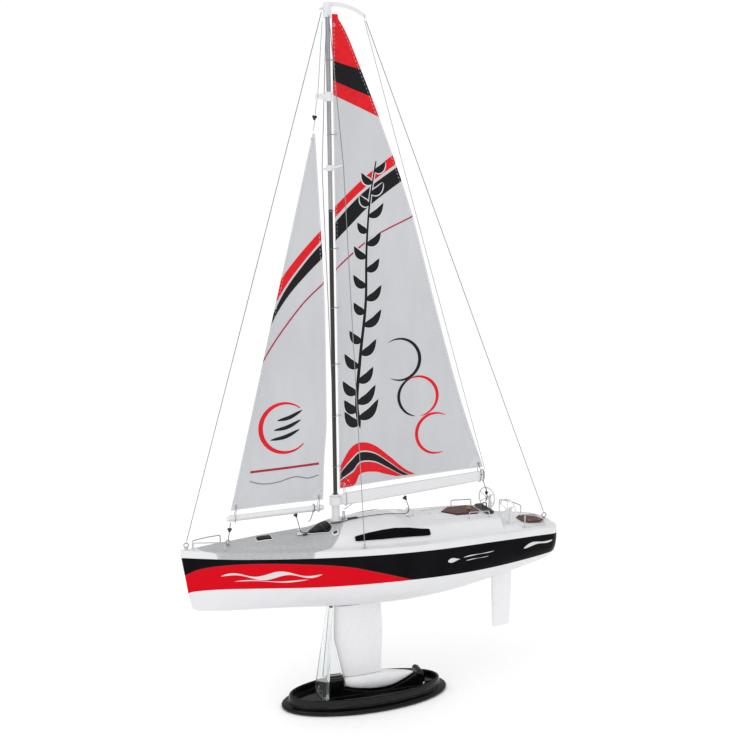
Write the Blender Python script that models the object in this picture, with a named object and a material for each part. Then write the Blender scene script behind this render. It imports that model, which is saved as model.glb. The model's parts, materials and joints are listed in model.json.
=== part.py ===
"""Ready-to-sail model racing yacht on its display stand. Metres, +Z up, bow towards -Y, port side towards +X."""

import math

import bmesh
import bpy
import numpy as np

for old in list(bpy.data.objects):
    bpy.data.objects.remove(old, do_unlink=True)

MM = 0.001
GAP = 0.3  # clearance between neighbouring pieces, mm

# Hull, mm
BOW_Y, STERN_Y = -130.0, 130.0
HALF_BEAM = 36.3
TRANSOM_HALF = 19.5
STERN_CORNER_R = 8.0
RIM_DEPTH = 4.2  # height of the white rim that belongs to the deck moulding
HULL_WALL = 1.5
DECK_WALL = 1.4
# Rig, mm
MAST_FOOT = np.array([0.0, -27.3, 126.2])
MAST_TOP = np.array([0.0, -30.4, 456.5])
MAST_R = 1.4
STEP_R, STEP_BORE = 2.7, 1.75
STEP_TOP = 144.1
SPREADER_Z = 357.0
# Main boom and sail, mm
BOOM_END = np.array([0.0, 80.0, 149.0])
MAIN_HEAD = (-26.6, 449.0)
MAIN_TACK = (-23.4, 147.4)
MAIN_CLEW = (79.0, 154.6)
# Jib, mm
JIB_TACK = (-97.3, 138.9)
JIB_HEAD = (-40.5, 378.6)
JIB_CLEW = (-35.9, 141.2)
JIB_BOOM_A = np.array([0.0, -98.7, 133.8])
JIB_BOOM_B = np.array([0.0, -36.7, 135.9])
SAIL_T = 0.5
MAIN_CAMBER = 4.2
JIB_CAMBER = 3.0
# Keel and rudder, mm
FIN_TOP, FIN_BOTTOM = 67.0, 16.7
BULB_HALF = 5.6
RUDDER_AXIS_Y = 91.0
RUDDER_BOTTOM = 38.0
TILLER_Z = 104.0
TILLER_ARM = 11.0
SERVO_Y = 64.0
# Stand, mm
BASE_Y = -7.0
BASE_A, BASE_B = 58.8, 26.8
TIER_A, TIER_B = 53.6, 21.4
TRAY_Z = 4.0
WHEEL_R = 7.6
WHEEL_X, WHEEL_Y, WHEEL_Z = 17.4, 90.0, 127.4
WHEEL_TURN = math.radians(24)  # the columns stand turned towards port


def lerp_table(v, table):
    xs, ys = zip(*table)
    return float(np.interp(v, xs, ys))


def smooth_table(v, table):
    """Cubic through the points of a table, with slopes that never overshoot."""
    xs = np.array([p[0] for p in table], float)
    ys = np.array([p[1] for p in table], float)
    v = min(max(v, xs[0]), xs[-1])
    h = np.diff(xs)
    d = np.diff(ys) / h
    m = np.zeros(len(xs))
    m[0], m[-1] = d[0], d[-1]
    for i in range(1, len(xs) - 1):
        if d[i - 1] * d[i] > 0:
            w1, w2 = 2 * h[i] + h[i - 1], h[i] + 2 * h[i - 1]
            m[i] = (w1 + w2) / (w1 / d[i - 1] + w2 / d[i])
    i = min(int(np.searchsorted(xs, v, side="right")) - 1, len(h) - 1)
    s = (v - xs[i]) / h[i]
    return float(
        (1 + 2 * s) * (1 - s) ** 2 * ys[i]
        + s * (1 - s) ** 2 * h[i] * m[i]
        + s * s * (3 - 2 * s) * ys[i + 1]
        + s * s * (s - 1) * h[i] * m[i + 1]
    )


def half_beam(y):
    t = (y - BOW_Y) / (STERN_Y - BOW_Y)
    t = min(max(t, 0.0), 1.0)
    if t < 0.6:
        b = HALF_BEAM * math.sin(math.pi / 2 * t / 0.6) ** 0.85
    else:
        b = HALF_BEAM - (HALF_BEAM - TRANSOM_HALF) * ((t - 0.6) / 0.4) ** 1.8
    b = math.sqrt(b * b + 1.5 * 1.5)
    over = y - (STERN_Y - STERN_CORNER_R)
    if over > 0:
        over = min(over, STERN_CORNER_R)
        b -= STERN_CORNER_R * (1 - math.sqrt(max(0.0, 1 - (over / STERN_CORNER_R) ** 2)))
    return b


def sheer(y):
    return smooth_table(y, [(-130, 115.4), (-90, 114.7), (0, 114.8), (60, 115.0), (100, 114.0), (130, 112.2)])


def keel_line(y):
    return smooth_table(
        y,
        [(-124, 76.5), (-119, 74.6), (-104, 72.8), (-64, 70.2), (-36, 68.5), (3, 67.7), (17, 68.1), (49, 71.0), (83, 76.8), (100, 80.0), (122, 85.0), (130, 88.0)],
    )


def new_object(name, verts, faces, rgb, rough=0.4, metal=0.0, alpha=1.0, pivot=(0, 0, 0)):
    pivot = np.array(pivot, float)
    mesh = bpy.data.meshes.new(name)
    pts = (np.asarray(verts, float) - pivot) * MM
    mesh.from_pydata([tuple(p) for p in pts], [], [tuple(int(i) for i in f) for f in faces])
    mesh.validate()
    bm = bmesh.new()
    bm.from_mesh(mesh)
    bmesh.ops.remove_doubles(bm, verts=bm.verts, dist=1e-7)
    bmesh.ops.recalc_face_normals(bm, faces=bm.faces)
    if bm.calc_volume(signed=True) < 0:
        bmesh.ops.reverse_faces(bm, faces=bm.faces)
    bm.to_mesh(mesh)
    bm.free()
    obj = bpy.data.objects.new(name, mesh)
    obj.location = tuple(pivot * MM)
    bpy.context.scene.collection.objects.link(obj)
    material = bpy.data.materials.new(name + "_mat")
    material.use_nodes = True
    shader = material.node_tree.nodes["Principled BSDF"]
    shader.inputs["Base Color"].default_value = (*rgb, 1.0)
    shader.inputs["Roughness"].default_value = rough
    shader.inputs["Metallic"].default_value = metal
    if alpha < 1.0:
        shader.inputs["Transmission Weight"].default_value = 1.0 - alpha
    mesh.materials.append(material)
    return obj


def combine(target, helper, operation):
    """Boolean of a hidden helper into the target."""
    helper.hide_render = True
    helper.display_type = "WIRE"
    mod = target.modifiers.new(operation.lower() + "_" + helper.name, "BOOLEAN")
    mod.operation = operation
    mod.solver = "EXACT"
    mod.object = helper
    return target


def join(target, *helpers):
    for helper in helpers:
        combine(target, helper, "UNION")
    return target


def cut(target, *helpers):
    for helper in helpers:
        combine(target, helper, "DIFFERENCE")
    return target


def loft(rings):
    """Closed rings of equal length, capped at both ends."""
    n = len(rings[0])
    verts = [p for ring in rings for p in ring]
    faces = []
    for i in range(len(rings) - 1):
        for j in range(n):
            a, b = i * n + j, i * n + (j + 1) % n
            faces.append((a, b, b + n, a + n))
    faces.append(tuple(range(n))[::-1])
    faces.append(tuple((len(rings) - 1) * n + j for j in range(n)))
    return verts, faces


def box_data(c, s):
    cx, cy, cz = c
    hx, hy, hz = (v / 2 for v in s)
    ring = [(-hx, -hy), (hx, -hy), (hx, hy), (-hx, hy)]
    return loft([[(cx + x, cy + y, cz - hz) for x, y in ring], [(cx + x, cy + y, cz + hz) for x, y in ring]])


def chamfer_box_data(c, s, r):
    """A box with its vertical edges and its top edge chamfered by r."""
    cx, cy, cz = c
    hx, hy, hz = (v / 2 for v in s)

    def ring(e, z):
        a, b, k = hx - e, hy - e, min(r, hx - e - 0.01, hy - e - 0.01)
        pts = [(-a + k, -b), (a - k, -b), (a, -b + k), (a, b - k), (a - k, b), (-a + k, b), (-a, b - k), (-a, -b + k)]
        return [(cx + x, cy + y, z) for x, y in pts]

    return loft([ring(0, cz - hz), ring(0, cz + hz - r), ring(r, cz + hz)])


def frame_of(d):
    d = d / np.linalg.norm(d)
    ref = np.array([0.0, 0.0, 1.0]) if abs(d[2]) < 0.9 else np.array([0.0, 1.0, 0.0])
    u = np.cross(ref, d)
    u /= np.linalg.norm(u)
    return u, np.cross(d, u)


def cyl_data(a, b, r0, r1=None, n=16):
    a, b = np.array(a, float), np.array(b, float)
    r1 = r0 if r1 is None else r1
    u, v = frame_of(b - a)
    ang = [2 * math.pi * k / n for k in range(n)]
    return loft([[tuple(p + r * (math.cos(t) * u + math.sin(t) * v)) for t in ang] for p, r in ((a, r0), (b, r1))])


def ring_data(a, b, r_out, r_in, n=20):
    """A tube from a to b."""
    a, b = np.array(a, float), np.array(b, float)
    u, v = frame_of(b - a)
    ang = [2 * math.pi * k / n for k in range(n)]
    rings = []
    for p, r in ((a, r_in), (a, r_out), (b, r_out), (b, r_in)):
        rings.append([tuple(p + r * (math.cos(t) * u + math.sin(t) * v)) for t in ang])
    verts = [p for ring in rings for p in ring]
    faces = []
    for i in range(4):
        for j in range(n):
            a0, b0 = i * n + j, i * n + (j + 1) % n
            c0, d0 = ((i + 1) % 4) * n + (j + 1) % n, ((i + 1) % 4) * n + j
            faces.append((a0, b0, c0, d0))
    return verts, faces


def tube_data(path, r, n=6, closed=False):
    """A round tube along a polyline."""
    pts = [np.array(p, float) for p in path]
    m = len(pts)
    tang = []
    for i in range(m):
        a = pts[(i - 1) % m] if (closed or i > 0) else pts[0]
        b = pts[(i + 1) % m] if (closed or i < m - 1) else pts[-1]
        t = b - a
        tang.append(t / np.linalg.norm(t))
    u, _ = frame_of(tang[0])
    rings = []
    for i in range(m):
        u = u - tang[i] * float(u @ tang[i])
        u /= np.linalg.norm(u)
        v = np.cross(tang[i], u)
        rings.append([tuple(pts[i] + r * (math.cos(2 * math.pi * k / n) * u + math.sin(2 * math.pi * k / n) * v)) for k in range(n)])
    if not closed:
        return loft(rings)
    verts = [p for ring in rings for p in ring]
    faces = []
    for i in range(m):
        for j in range(n):
            k = (i + 1) % m
            faces.append((i * n + j, i * n + (j + 1) % n, k * n + (j + 1) % n, k * n + j))
    return verts, faces


def rounded(path, r, steps=4):
    """The polyline with its corners rounded by radius r."""
    pts = [np.array(p, float) for p in path]
    out = [pts[0]]
    for i in range(1, len(pts) - 1):
        a, p, b = pts[i - 1], pts[i], pts[i + 1]
        da, db = a - p, b - p
        ra = min(r, 0.45 * np.linalg.norm(da))
        rb = min(r, 0.45 * np.linalg.norm(db))
        s, e = p + da / np.linalg.norm(da) * ra, p + db / np.linalg.norm(db) * rb
        for k in range(steps + 1):
            t = k / steps
            out.append((1 - t) ** 2 * s + 2 * t * (1 - t) * p + t * t * e)
    out.append(pts[-1])
    return out


def circle_path(c, r, axis, n):
    c = np.array(c, float)
    u, v = frame_of(np.array(axis, float))
    return [c + r * (math.cos(2 * math.pi * k / n) * u + math.sin(2 * math.pi * k / n) * v) for k in range(n)]


def mast_point(z):
    s = (z - MAST_FOOT[2]) / (MAST_TOP[2] - MAST_FOOT[2])
    return MAST_FOOT + s * (MAST_TOP - MAST_FOOT)


WHITE = (0.86, 0.87, 0.88)
BLACK = (0.02, 0.02, 0.022)
STEEL = (0.55, 0.56, 0.58)
TEAK = (0.20, 0.07, 0.035)
SILVER = (0.62, 0.63, 0.66)

# ---------------------------------------------------------------- hull shell


def hull_ring(t, inset=0.0, lift=0.0):
    """Section ring of the hull at t from stem (0) to transom (1): port top, down round the bottom, starboard top."""
    fullness = smooth_table(t, [(0.0, 0.0), (0.12, 0.25), (0.35, 0.8), (0.55, 1.0), (1.0, 0.85)])
    n = 1.15 + 1.75 * fullness
    m = 1.05 + 0.75 * fullness
    y_top = -129.5 + t * (STERN_Y + 129.5)
    zt = sheer(y_top) - RIM_DEPTH
    b = half_beam(y_top)
    stem_low = -123.2
    y_keel = stem_low + t * (STERN_Y - stem_low)
    zk = keel_line(y_keel)
    if inset:
        zk += inset * min(max(1.15, 0.9 * (zt - zk) / b), 5.0)
        b -= inset
    side = []
    qs = [0.0, 0.14, 0.28, 0.42, 0.56, 0.68, 0.78, 0.86, 0.93, 0.975, 1.0]
    for q in qs:
        z = zt + (zk - zt) * q
        x = b * max(0.0, 1 - q**n) ** (1 / m)
        ys = np.interp(z, [76.0, 87.0, 115.0], [-123.0, -125.6, -130.1])
        y = ys + t * (STERN_Y - ys)
        side.append((x, y, z + (lift if q == 0 else 0)))
    ring = [p for p in side] + [(-p[0], p[1], p[2]) for p in reversed(side[:-1])]
    return ring


ts = [0.0, 0.006, 0.016, 0.032, 0.055, 0.085, 0.12, 0.165, 0.215, 0.27, 0.33, 0.39, 0.45, 0.51, 0.57, 0.63, 0.69, 0.75, 0.81, 0.865, 0.91, 0.945, 0.97, 0.985, 0.994, 1.0]
outer = [hull_ring(t) for t in ts]
verts, faces = loft(outer)
hull = new_object("hull_shell", verts, faces, (0.8, 0.03, 0.04), 0.25)
inner_ts = [0.035, 0.06, 0.09, 0.14, 0.2, 0.27, 0.35, 0.43, 0.51, 0.59, 0.67, 0.75, 0.82, 0.88, 0.93, 0.965, 0.985]
inner = [hull_ring(t, HULL_WALL, 4.0) for t in inner_ts]
hull_core = new_object("helper_hull_core", *loft(inner), WHITE)
cut(hull, hull_core)
fin_stud_y = -12.0
cut(hull, new_object("helper_stud_hole", *cyl_data((0, fin_stud_y, 60), (0, fin_stud_y, 80), 1.9, n=14), WHITE))
cut(hull, new_object("helper_rudder_hole", *cyl_data((0, RUDDER_AXIS_Y, 70), (0, RUDDER_AXIS_Y, 92), 2.3, n=14), WHITE))

# ------------------------------------------------------------- deck moulding

TRUNK_H = [(-130, 1.0), (-94, 1.2), (-90, 1.8), (-84, 3.0), (-76, 3.7), (-62, 3.6), (-52, 3.7), (-44, 5.0), (-36, 7.6), (-30, 10.1), (-24, 11.2), (-12, 12.0), (4, 12.6), (12, 12.2), (20, 10.3), (25, 9.3), (40, 9.3), (46, 9.4), (84.0, 8.8), (85.4, 3.4), (99, 3.1), (101, 0.6), (104, 0.2), (124, 0.2), (127, 0.7), (130, 0.8)]
TRUNK_W = [(-130, 0.3), (-94, 9.0), (-84, 14.0), (-60, 19.5), (-30, 25.5), (0, 28.5), (30, 29.2), (60, 27.2), (84, 25.0), (92, 24.6), (101, 21.5), (130, 13.0)]
CROWN = [(-94, 0.20), (-50, 0.26), (-34, 0.34), (-12, 0.27), (8, 0.20), (24, 0.14), (84, 0.10)]


def deck_side(y, drop=0.0, inset=0.0):
    """Half section of the deck from the centreline out to the bottom of the rim."""
    b = half_beam(y) - inset
    zs = sheer(y) - drop
    H = lerp_table(y, TRUNK_H)
    W = min(lerp_table(y, TRUNK_W) - 0.7 * inset, b - 2.6)
    W = max(W, 0.45 * b)
    raised = H > 2.0
    pts = []
    roof = 0.78 if raised else 0.8
    top = zs + H
    crown = lerp_table(y, CROWN) if raised else 0.35
    pts = [(0, top), (0.40 * W * roof, top - 0.2 * crown * H), (0.78 * W * roof, top - 0.65 * crown * H), (W * roof, top - 1.15 * crown * H)]
    low = zs + 0.6
    z4 = top - 1.15 * crown * H
    pts += [(W * (roof + 0.42 * (1 - roof)), z4 + 0.36 * (low - z4)), (W * (roof + 0.76 * (1 - roof)), z4 + 0.74 * (low - z4)), (W, low)]
    side = b - W
    pts += [(W + 0.5 * side, zs + 0.45), (W + 0.86 * side, zs + 0.2)]
    if drop == 0.0:
        pts += [(b - 0.25 * min(1, side), zs + 0.1), (b + 0.25, zs - 0.5), (b + 0.45, zs - RIM_DEPTH + GAP)]
    else:
        pts += [(b - 0.2, zs + 0.1), (b, zs - 0.8), (b, zs - RIM_DEPTH - 3)]
    return pts


def deck_ring(y, drop=0.0, inset=0.0):
    half = deck_side(y, drop, inset)
    pts = [(x, y, z) for x, z in half]
    return pts[::-1] + [(-x, yy, z) for x, yy, z in pts[1:]]


deck_rows = [-130.0, -129.4, -128.2, -126, -122.5, -117, -110, -102, -94, -90, -87, -84, -80, -76, -62, -52, -48, -44, -40, -36, -33, -30, -24, -12, -4, 4, 8, 12, 16, 20, 25, 32, 40, 46, 55, 66, 84.0, 85.4, 92, 99, 101, 104, 110, 116, 121, 124.5, 127, 128.8, 129.7, 130.0]
deck = new_object("deck_moulding", *loft([deck_ring(y) for y in deck_rows]), WHITE, 0.28)
inner_rows = [-124, -117, -110, -102, -94, -84, -76, -62, -52, -44, -36, -30, -24, -12, 4, 12, 20, 25, 40, 55, 70, 84.0, 85.4, 99, 101, 110, 118, 124, 127.5]
core_rings = [deck_ring(y, DECK_WALL, 1.4) for y in inner_rows]
deck_core = new_object("helper_deck_core", *loft(core_rings), WHITE)
cut(deck, deck_core)


def deck_z(x, y):
    pts = deck_side(y)
    xs = [p[0] for p in pts[:10]]
    zs = [p[1] for p in pts[:10]]
    return float(np.interp(abs(x), xs, zs))


# ------------------------------------------------------ deck inlays and trim


def pad_z(x0, x1, y0, y1):
    return max(deck_z(x, y) for x in np.linspace(x0, x1, 7) for y in np.linspace(y0, y1, 7))


def polygon_plate(name, pts, z0, z1, rgb, rough=0.4, pivot=(0, 0, 0), edge=0.0):
    bottom = [(x, y, z0) for x, y in pts]
    if edge <= 0:
        return new_object(name, *loft([bottom, [(x, y, z1) for x, y in pts]]), rgb, rough, pivot=pivot)
    c = np.mean(np.array(pts), axis=0)
    top = []
    for x, y in pts:
        d = np.array([x, y]) - c
        d *= 1 - edge / max(np.linalg.norm(d), 1e-6)
        top.append((c[0] + d[0], c[1] + d[1], z1))
    return new_object(name, *loft([bottom, [(x, y, z1 - edge) for x, y in pts], top]), rgb, rough, pivot=pivot)


def draped_plate(name, xs, ys, outline, lift, thick, rgb, rough):
    """A thin plate that follows the deck: outline(y) gives its half width."""
    rings = []
    for y in ys:
        w = outline(y)
        ring = [(w * k, y, deck_z(w * k, y) + lift) for k in xs]
        ring += [(w * k, y, deck_z(w * k, y) + lift + thick) for k in reversed(xs)]
        rings.append(ring)
    return new_object(name, *loft(rings), rgb, rough)


SPAN = [-1.0, -0.7, -0.4, 0.0, 0.4, 0.7, 1.0]
foredeck_hatch = draped_plate("foredeck_hatch", SPAN, [-80.5, -80.0, -76, -72.0, -71.5], lambda y: 3.6 if -80.2 < y < -71.8 else 3.1, GAP, 0.9, (0.04, 0.04, 0.045), 0.3)
mast_hatch = draped_plate("mast_hatch", SPAN, [-46.0, -43, -40, -37, -35, -33.4, -32.2], lambda y: lerp_table(y, [(-46, 1.0), (-43, 4.0), (-40, 7.0), (-37, 9.6), (-35, 10.4), (-33.4, 8.6), (-32.2, 6.4)]), GAP, 0.8, BLACK, 0.3)


def window(name, sign):
    """A dark window that follows the side of the cabin."""
    rings = []
    for y in [-21.0, -19.5, -12, -3, 6, 16, 24, 28.8, 30.0]:
        pts = deck_side(y)
        p0, p1 = np.array(pts[3]), np.array(pts[6])
        d = p1 - p0
        nrm = np.array([-d[1], d[0]]) / np.linalg.norm(d)
        if nrm[0] < 0:
            nrm = -nrm

        def wall(s):
            path = [np.array(p) for p in pts[3:7]]
            seg = [np.linalg.norm(path[i + 1] - path[i]) for i in range(3)]
            at = s * sum(seg)
            for i in range(3):
                if at <= seg[i] or i == 2:
                    return path[i] + (path[i + 1] - path[i]) * min(at / seg[i], 1)
                at -= seg[i]

        top_s = lerp_table(y, [(-21, 0.28), (-19.5, 0.24), (-12, 0.13), (-3, 0.06), (6, 0.05), (16, 0.08), (24, 0.14), (28.8, 0.19), (30, 0.25)])
        low_s = lerp_table(y, [(-21, 0.60), (-19.5, 0.64), (0, 0.68), (28.8, 0.68), (30, 0.62)])
        ss = np.linspace(top_s, low_s, 4)
        ring = [tuple(wall(s) + nrm * 0.45) for s in ss] + [tuple(wall(s) + nrm * 1.0) for s in ss[::-1]]
        rings.append([(sign * x, y, z) for x, z in ring])
    return new_object(name, *loft(rings), BLACK, 0.12)


window("cabin_window_port", 1)
window("cabin_window_stbd", -1)

# Cockpit hatch: a hexagonal teak lid that lifts out of an opening in the deck.
HATCH_Y0, HATCH_Y1, HATCH_W = 48.0, 74.0, 9.0
hex_pts = [(0.0, HATCH_Y0), (HATCH_W, HATCH_Y0 + 8), (HATCH_W, HATCH_Y1 - 3), (HATCH_W - 3, HATCH_Y1), (-HATCH_W + 3, HATCH_Y1), (-HATCH_W, HATCH_Y1 - 3), (-HATCH_W, HATCH_Y0 + 8)]
hatch_z = pad_z(-HATCH_W, HATCH_W, HATCH_Y0, HATCH_Y1) + GAP
hatch_c = np.array([0.0, (HATCH_Y0 + HATCH_Y1) / 2])
plug = [(hatch_c[0] + (x - hatch_c[0]) * 0.72, hatch_c[1] + (y - hatch_c[1]) * 0.78) for x, y in hex_pts]
hole = [(hatch_c[0] + (x - hatch_c[0]) * 0.77, hatch_c[1] + (y - hatch_c[1]) * 0.81) for x, y in hex_pts]
cut(deck, polygon_plate("helper_hatch_hole", hole, 110, 135, WHITE))
hatch = polygon_plate("cockpit_hatch_lid", hex_pts, hatch_z, hatch_z + 1.1, TEAK, 0.5, pivot=(0, hatch_c[1], hatch_z), edge=0.25)
join(hatch, polygon_plate("helper_hatch_plug", plug, hatch_z - 3.2, hatch_z + 0.4, TEAK, pivot=(0, hatch_c[1], hatch_z)))

stern_sole_z = pad_z(-8.6, 8.6, 107.5, 123.5) + GAP
polygon_plate("stern_sole", [(-5.0, 107.5), (5.0, 107.5), (8.6, 111), (8.6, 121.0), (6.0, 123.5), (-6.0, 123.5), (-8.6, 121.0), (-8.6, 111)], stern_sole_z, stern_sole_z + 0.8, TEAK, 0.5, edge=0.2)

bench_z = pad_z(-11.0, 11.0, 77.6, 83.2) + GAP
bench = new_object("helm_bench", *chamfer_box_data((0, 80.4, bench_z + 0.9), (22.0, 5.6, 1.8), 0.5), BLACK, 0.35)
SHEET_LOOP = (0.0, 80.4, bench_z + 1.8 + 1.5)
join(bench, new_object("helper_sheet_loop", *tube_data(circle_path(SHEET_LOOP, 1.7, (1, 0, 0), 14), 0.42, 6, closed=True), STEEL))

# ------------------------------------------------------------ wheels and rails


def post_base(x, y):
    return deck_z(x, y) + GAP


for label, sign in (("port", 1), ("stbd", -1)):
    hub_c = np.array([sign * WHEEL_X, WHEEL_Y, WHEEL_Z])
    ax = np.array([-math.sin(WHEEL_TURN), math.cos(WHEEL_TURN), 0.0])
    side = np.array([ax[1], -ax[0], 0.0])
    foot = hub_c + ax * 3.4
    pz = deck_z(foot[0], foot[1])
    shaft = new_object("helper_ped_" + label, *cyl_data((foot[0], foot[1], pz - 0.8), (foot[0], foot[1], WHEEL_Z + 0.8), 1.5, 0.9, n=12), WHITE)
    axle = new_object("helper_axle_" + label, *cyl_data(foot + ax * 0.3, hub_c + ax * 1.5, 0.75, n=10), WHITE)
    join(deck, shaft, axle)
    wheel = new_object("wheel_" + label, *tube_data(circle_path(hub_c, WHEEL_R, ax, 22), 0.5, 6, closed=True), WHITE, 0.3, pivot=hub_c)
    hub = new_object("helper_hub_" + label, *cyl_data(hub_c - ax * 0.8, hub_c + ax * 1.1, 1.25, n=12), WHITE, pivot=hub_c)
    join(wheel, hub)
    for k in range(3):
        t = math.pi * k / 3 + math.pi / 6
        d = (math.cos(t) * side + np.array([0, 0, math.sin(t)])) * (WHEEL_R - 0.05)
        join(wheel, new_object(f"helper_spoke_{label}_{k}", *cyl_data(hub_c - d, hub_c + d, 0.36, n=6), WHITE, pivot=hub_c))

WIRE_R = 0.4


def bail(name, a, b, height_a, height_b, rgb=STEEL, r=WIRE_R, corner=1.2, lean=(0, 0), n=6, mid=None):
    """A bent wire rail standing on two feet."""
    ax, ay = a
    bx, by = b
    za, zb = post_base(ax, ay), post_base(bx, by)
    pts = [(ax, ay, za), (ax + lean[0], ay + lean[1], za + height_a)]
    if mid is not None:
        pts.append((mid[0], mid[1], (za + height_a + zb + height_b) / 2 + mid[2]))
    pts += [(bx + lean[0], by - lean[1], zb + height_b), (bx, by, zb)]
    return new_object(name, *tube_data(rounded(pts, corner), r, n), rgb, 0.25, 1.0 if rgb == STEEL else 0.0)


for label, sign in (("port", 1), ("stbd", -1)):
    x0 = sign * (half_beam(-122.0) - 2.0)
    x1 = sign * (half_beam(-103.0) - 2.8)
    bail("bow_rail_" + label, (x0, -122.0), (x1, -103.0), 4.6, 5.2, mid=(sign * (half_beam(-112) - 2.2), -112, 0.3))
    bail("stern_rail_" + label, (sign * 21.0, 101.6), (sign * 18.4, 117.6), 9.2, 5.0, mid=(sign * 19.8, 110.0, 0.9))
    bail("cockpit_rail_" + label, (sign * 16.6, 62.0), (sign * 16.0, 77.0), 4.2, 4.2)

bail("roof_grab_rail", (0.0, 27.6), (0.0, 39.5), 3.6, 3.6, rgb=WHITE, r=0.6, corner=1.4, n=8)


def fairlead(name, y, height):
    """A sheet post: a foot, a stem and a ball that the sheet passes round."""
    z = pad_z(-1.9, 1.9, y - 1.9, y + 1.9) + GAP
    post = new_object(name, *cyl_data((0, y, z), (0, y, z + 0.9), 1.9, n=12), WHITE, 0.3)
    join(post, new_object("helper_stem_" + name, *cyl_data((0, y, z + 0.5), (0, y, z + height - 0.9), 0.75, n=10), WHITE))
    join(post, new_object("helper_head_" + name, *cyl_data((0, y, z + height - 1.6), (0, y, z + height), 1.45, 1.25, n=12), WHITE))
    return post


fairlead("sheet_post_fore", -52.0, 4.0)
fairlead("sheet_post_aft", 23.6, 5.2)


def screw_eye(name, x, y, ring_r, axis, stem=1.0, wire=0.42):
    z = post_base(x, y)
    eye = new_object(name, *cyl_data((x, y, z), (x, y, z + 0.7), 1.1, n=10), STEEL, 0.25, 1.0)
    c = (x, y, z + stem + ring_r)
    join(eye, new_object("helper_ring_" + name, *tube_data(circle_path(c, ring_r, axis, 14), wire, 6, closed=True), STEEL))
    join(eye, new_object("helper_stem_" + name, *cyl_data((x, y, z + 0.4), (x, y, z + stem + 0.35), 0.45, n=8), STEEL))
    return eye, c


_, BOW_EYE = screw_eye("bow_eye", 0, -126.3, 1.5, (1, 0, 0), 0.8)
_, TACK_EYE = screw_eye("tack_eye", 0, -99.6, 1.3, (1, 0, 0), 0.8)
_, STERN_EYE = screw_eye("stern_eye", 0, 127.0, 1.6, (1, 0, 0), 0.9)
CHAIN = {}
for label, sign in (("port", 1), ("stbd", -1)):
    _, CHAIN[label] = screw_eye("chainplate_" + label, sign * 31.4, -17.0, 1.0, (0, 1, 0), 0.7, 0.36)

# --------------------------------------------------------------- mast and rig

step_z = pad_z(-3.6, 3.6, MAST_FOOT[1] - 3.6, MAST_FOOT[1] + 3.6) + GAP
step_top = mast_point(STEP_TOP)
step_bottom = mast_point(step_z)
mast_step = new_object("mast_step", *cyl_data(step_bottom, step_top, STEP_R, n=24), WHITE, 0.3)
join(mast_step, new_object("helper_step_foot", *cyl_data((0, step_bottom[1], step_z), (0, step_bottom[1], step_z + 1.2), 3.6, n=20), WHITE))
cut(mast_step, new_object("helper_step_bore", *cyl_data(mast_point(step_z + 3.0), mast_point(STEP_TOP + 4), STEP_BORE, n=20), WHITE))
new_object("mast", *cyl_data(mast_point(step_z + 3.3), MAST_TOP, MAST_R, n=16), BLACK, 0.35)

# The kicker pin behind the mast step.
kick_z = pad_z(-1.2, 1.2, -23.0, -20.8) + GAP
kicker = new_object("kicker_pin", *cyl_data((0, -21.9, kick_z), (0, -21.9, kick_z + 5.4), 0.9, n=10), STEEL, 0.3, 1.0)
join(kicker, new_object("helper_kick_foot", *cyl_data((0, -21.9, kick_z), (0, -21.9, kick_z + 0.8), 1.25, n=10), STEEL))


def strip(points, half_w, half_t):
    """A bar of rectangular section that bends in the Y-Z plane."""
    rings = []
    pts = [np.array(p, float) for p in points]
    for i, p in enumerate(pts):
        a, b = pts[max(i - 1, 0)], pts[min(i + 1, len(pts) - 1)]
        t = (b - a) / np.linalg.norm(b - a)
        nrm = np.array([0, -t[2], t[1]])
        w, h = half_w, half_t * (1 - 0.45 * i / (len(pts) - 1))
        rings.append([tuple(p + np.array([sx * w, 0, 0]) + nrm * sz * h) for sx, sz in ((-1, -1), (1, -1), (1, 1), (-1, 1))])
    return loft(rings)


cap_low, cap_high = mast_point(449.5), mast_point(458.6)
masthead = new_object("masthead_crane", *cyl_data(cap_low, cap_high, 2.5, n=18), WHITE, 0.3)
crane_pts = [(0, -30.4, 457.6), (0, -24.8, 458.0), (0, -18.9, 457.4), (0, -12.4, 455.6), (0, -6.9, 452.6), (0, -5.4, 450.6)]
join(masthead, new_object("helper_crane", *strip(crane_pts, 1.0, 1.3), WHITE))
join(masthead, new_object("helper_nose", *strip([(0, -29.5, 454.6), (0, -33.2, 455.2), (0, -35.4, 454.2)], 0.8, 1.2), WHITE))
cut(masthead, new_object("helper_cap_bore", *cyl_data(mast_point(440), mast_point(MAST_TOP[2] + GAP), MAST_R + 0.32, n=16), WHITE))
cut(masthead, new_object("helper_crane_hole", *cyl_data((-4, -6.4, 451.9), (4, -6.4, 451.9), 0.42, n=8), WHITE))
cut(masthead, new_object("helper_nose_hole", *cyl_data((-4, -34.2, 454.4), (4, -34.2, 454.4), 0.42, n=8), WHITE))
for sign in (1, -1):
    lug = new_object(f"helper_lug_{sign}", *box_data((sign * 2.9, -30.3, 451.6), (1.8, 1.6, 1.6)), WHITE)
    join(masthead, lug)
    cut(masthead, new_object(f"helper_lug_hole_{sign}", *cyl_data((sign * 3.1, -30.3, 448), (sign * 3.1, -30.3, 455), 0.33, n=8), WHITE))

collar = new_object("halyard_collar", *ring_data(mast_point(398.4), mast_point(404.2), 2.35, MAST_R + 0.32, 18), WHITE, 0.3)
join(collar, new_object("helper_collar_lug", *box_data((0, mast_point(401)[1] - 5.2, 401.3), (1.8, 6.4, 3.4)), WHITE))
cut(collar, new_object("helper_collar_hole", *cyl_data((-4, -37.2, 401.3), (4, -37.2, 401.3), 0.7, n=10), WHITE))
cut(collar, new_object("helper_collar_bore", *cyl_data(mast_point(390), mast_point(412), MAST_R + 0.32, n=18), WHITE))

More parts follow.
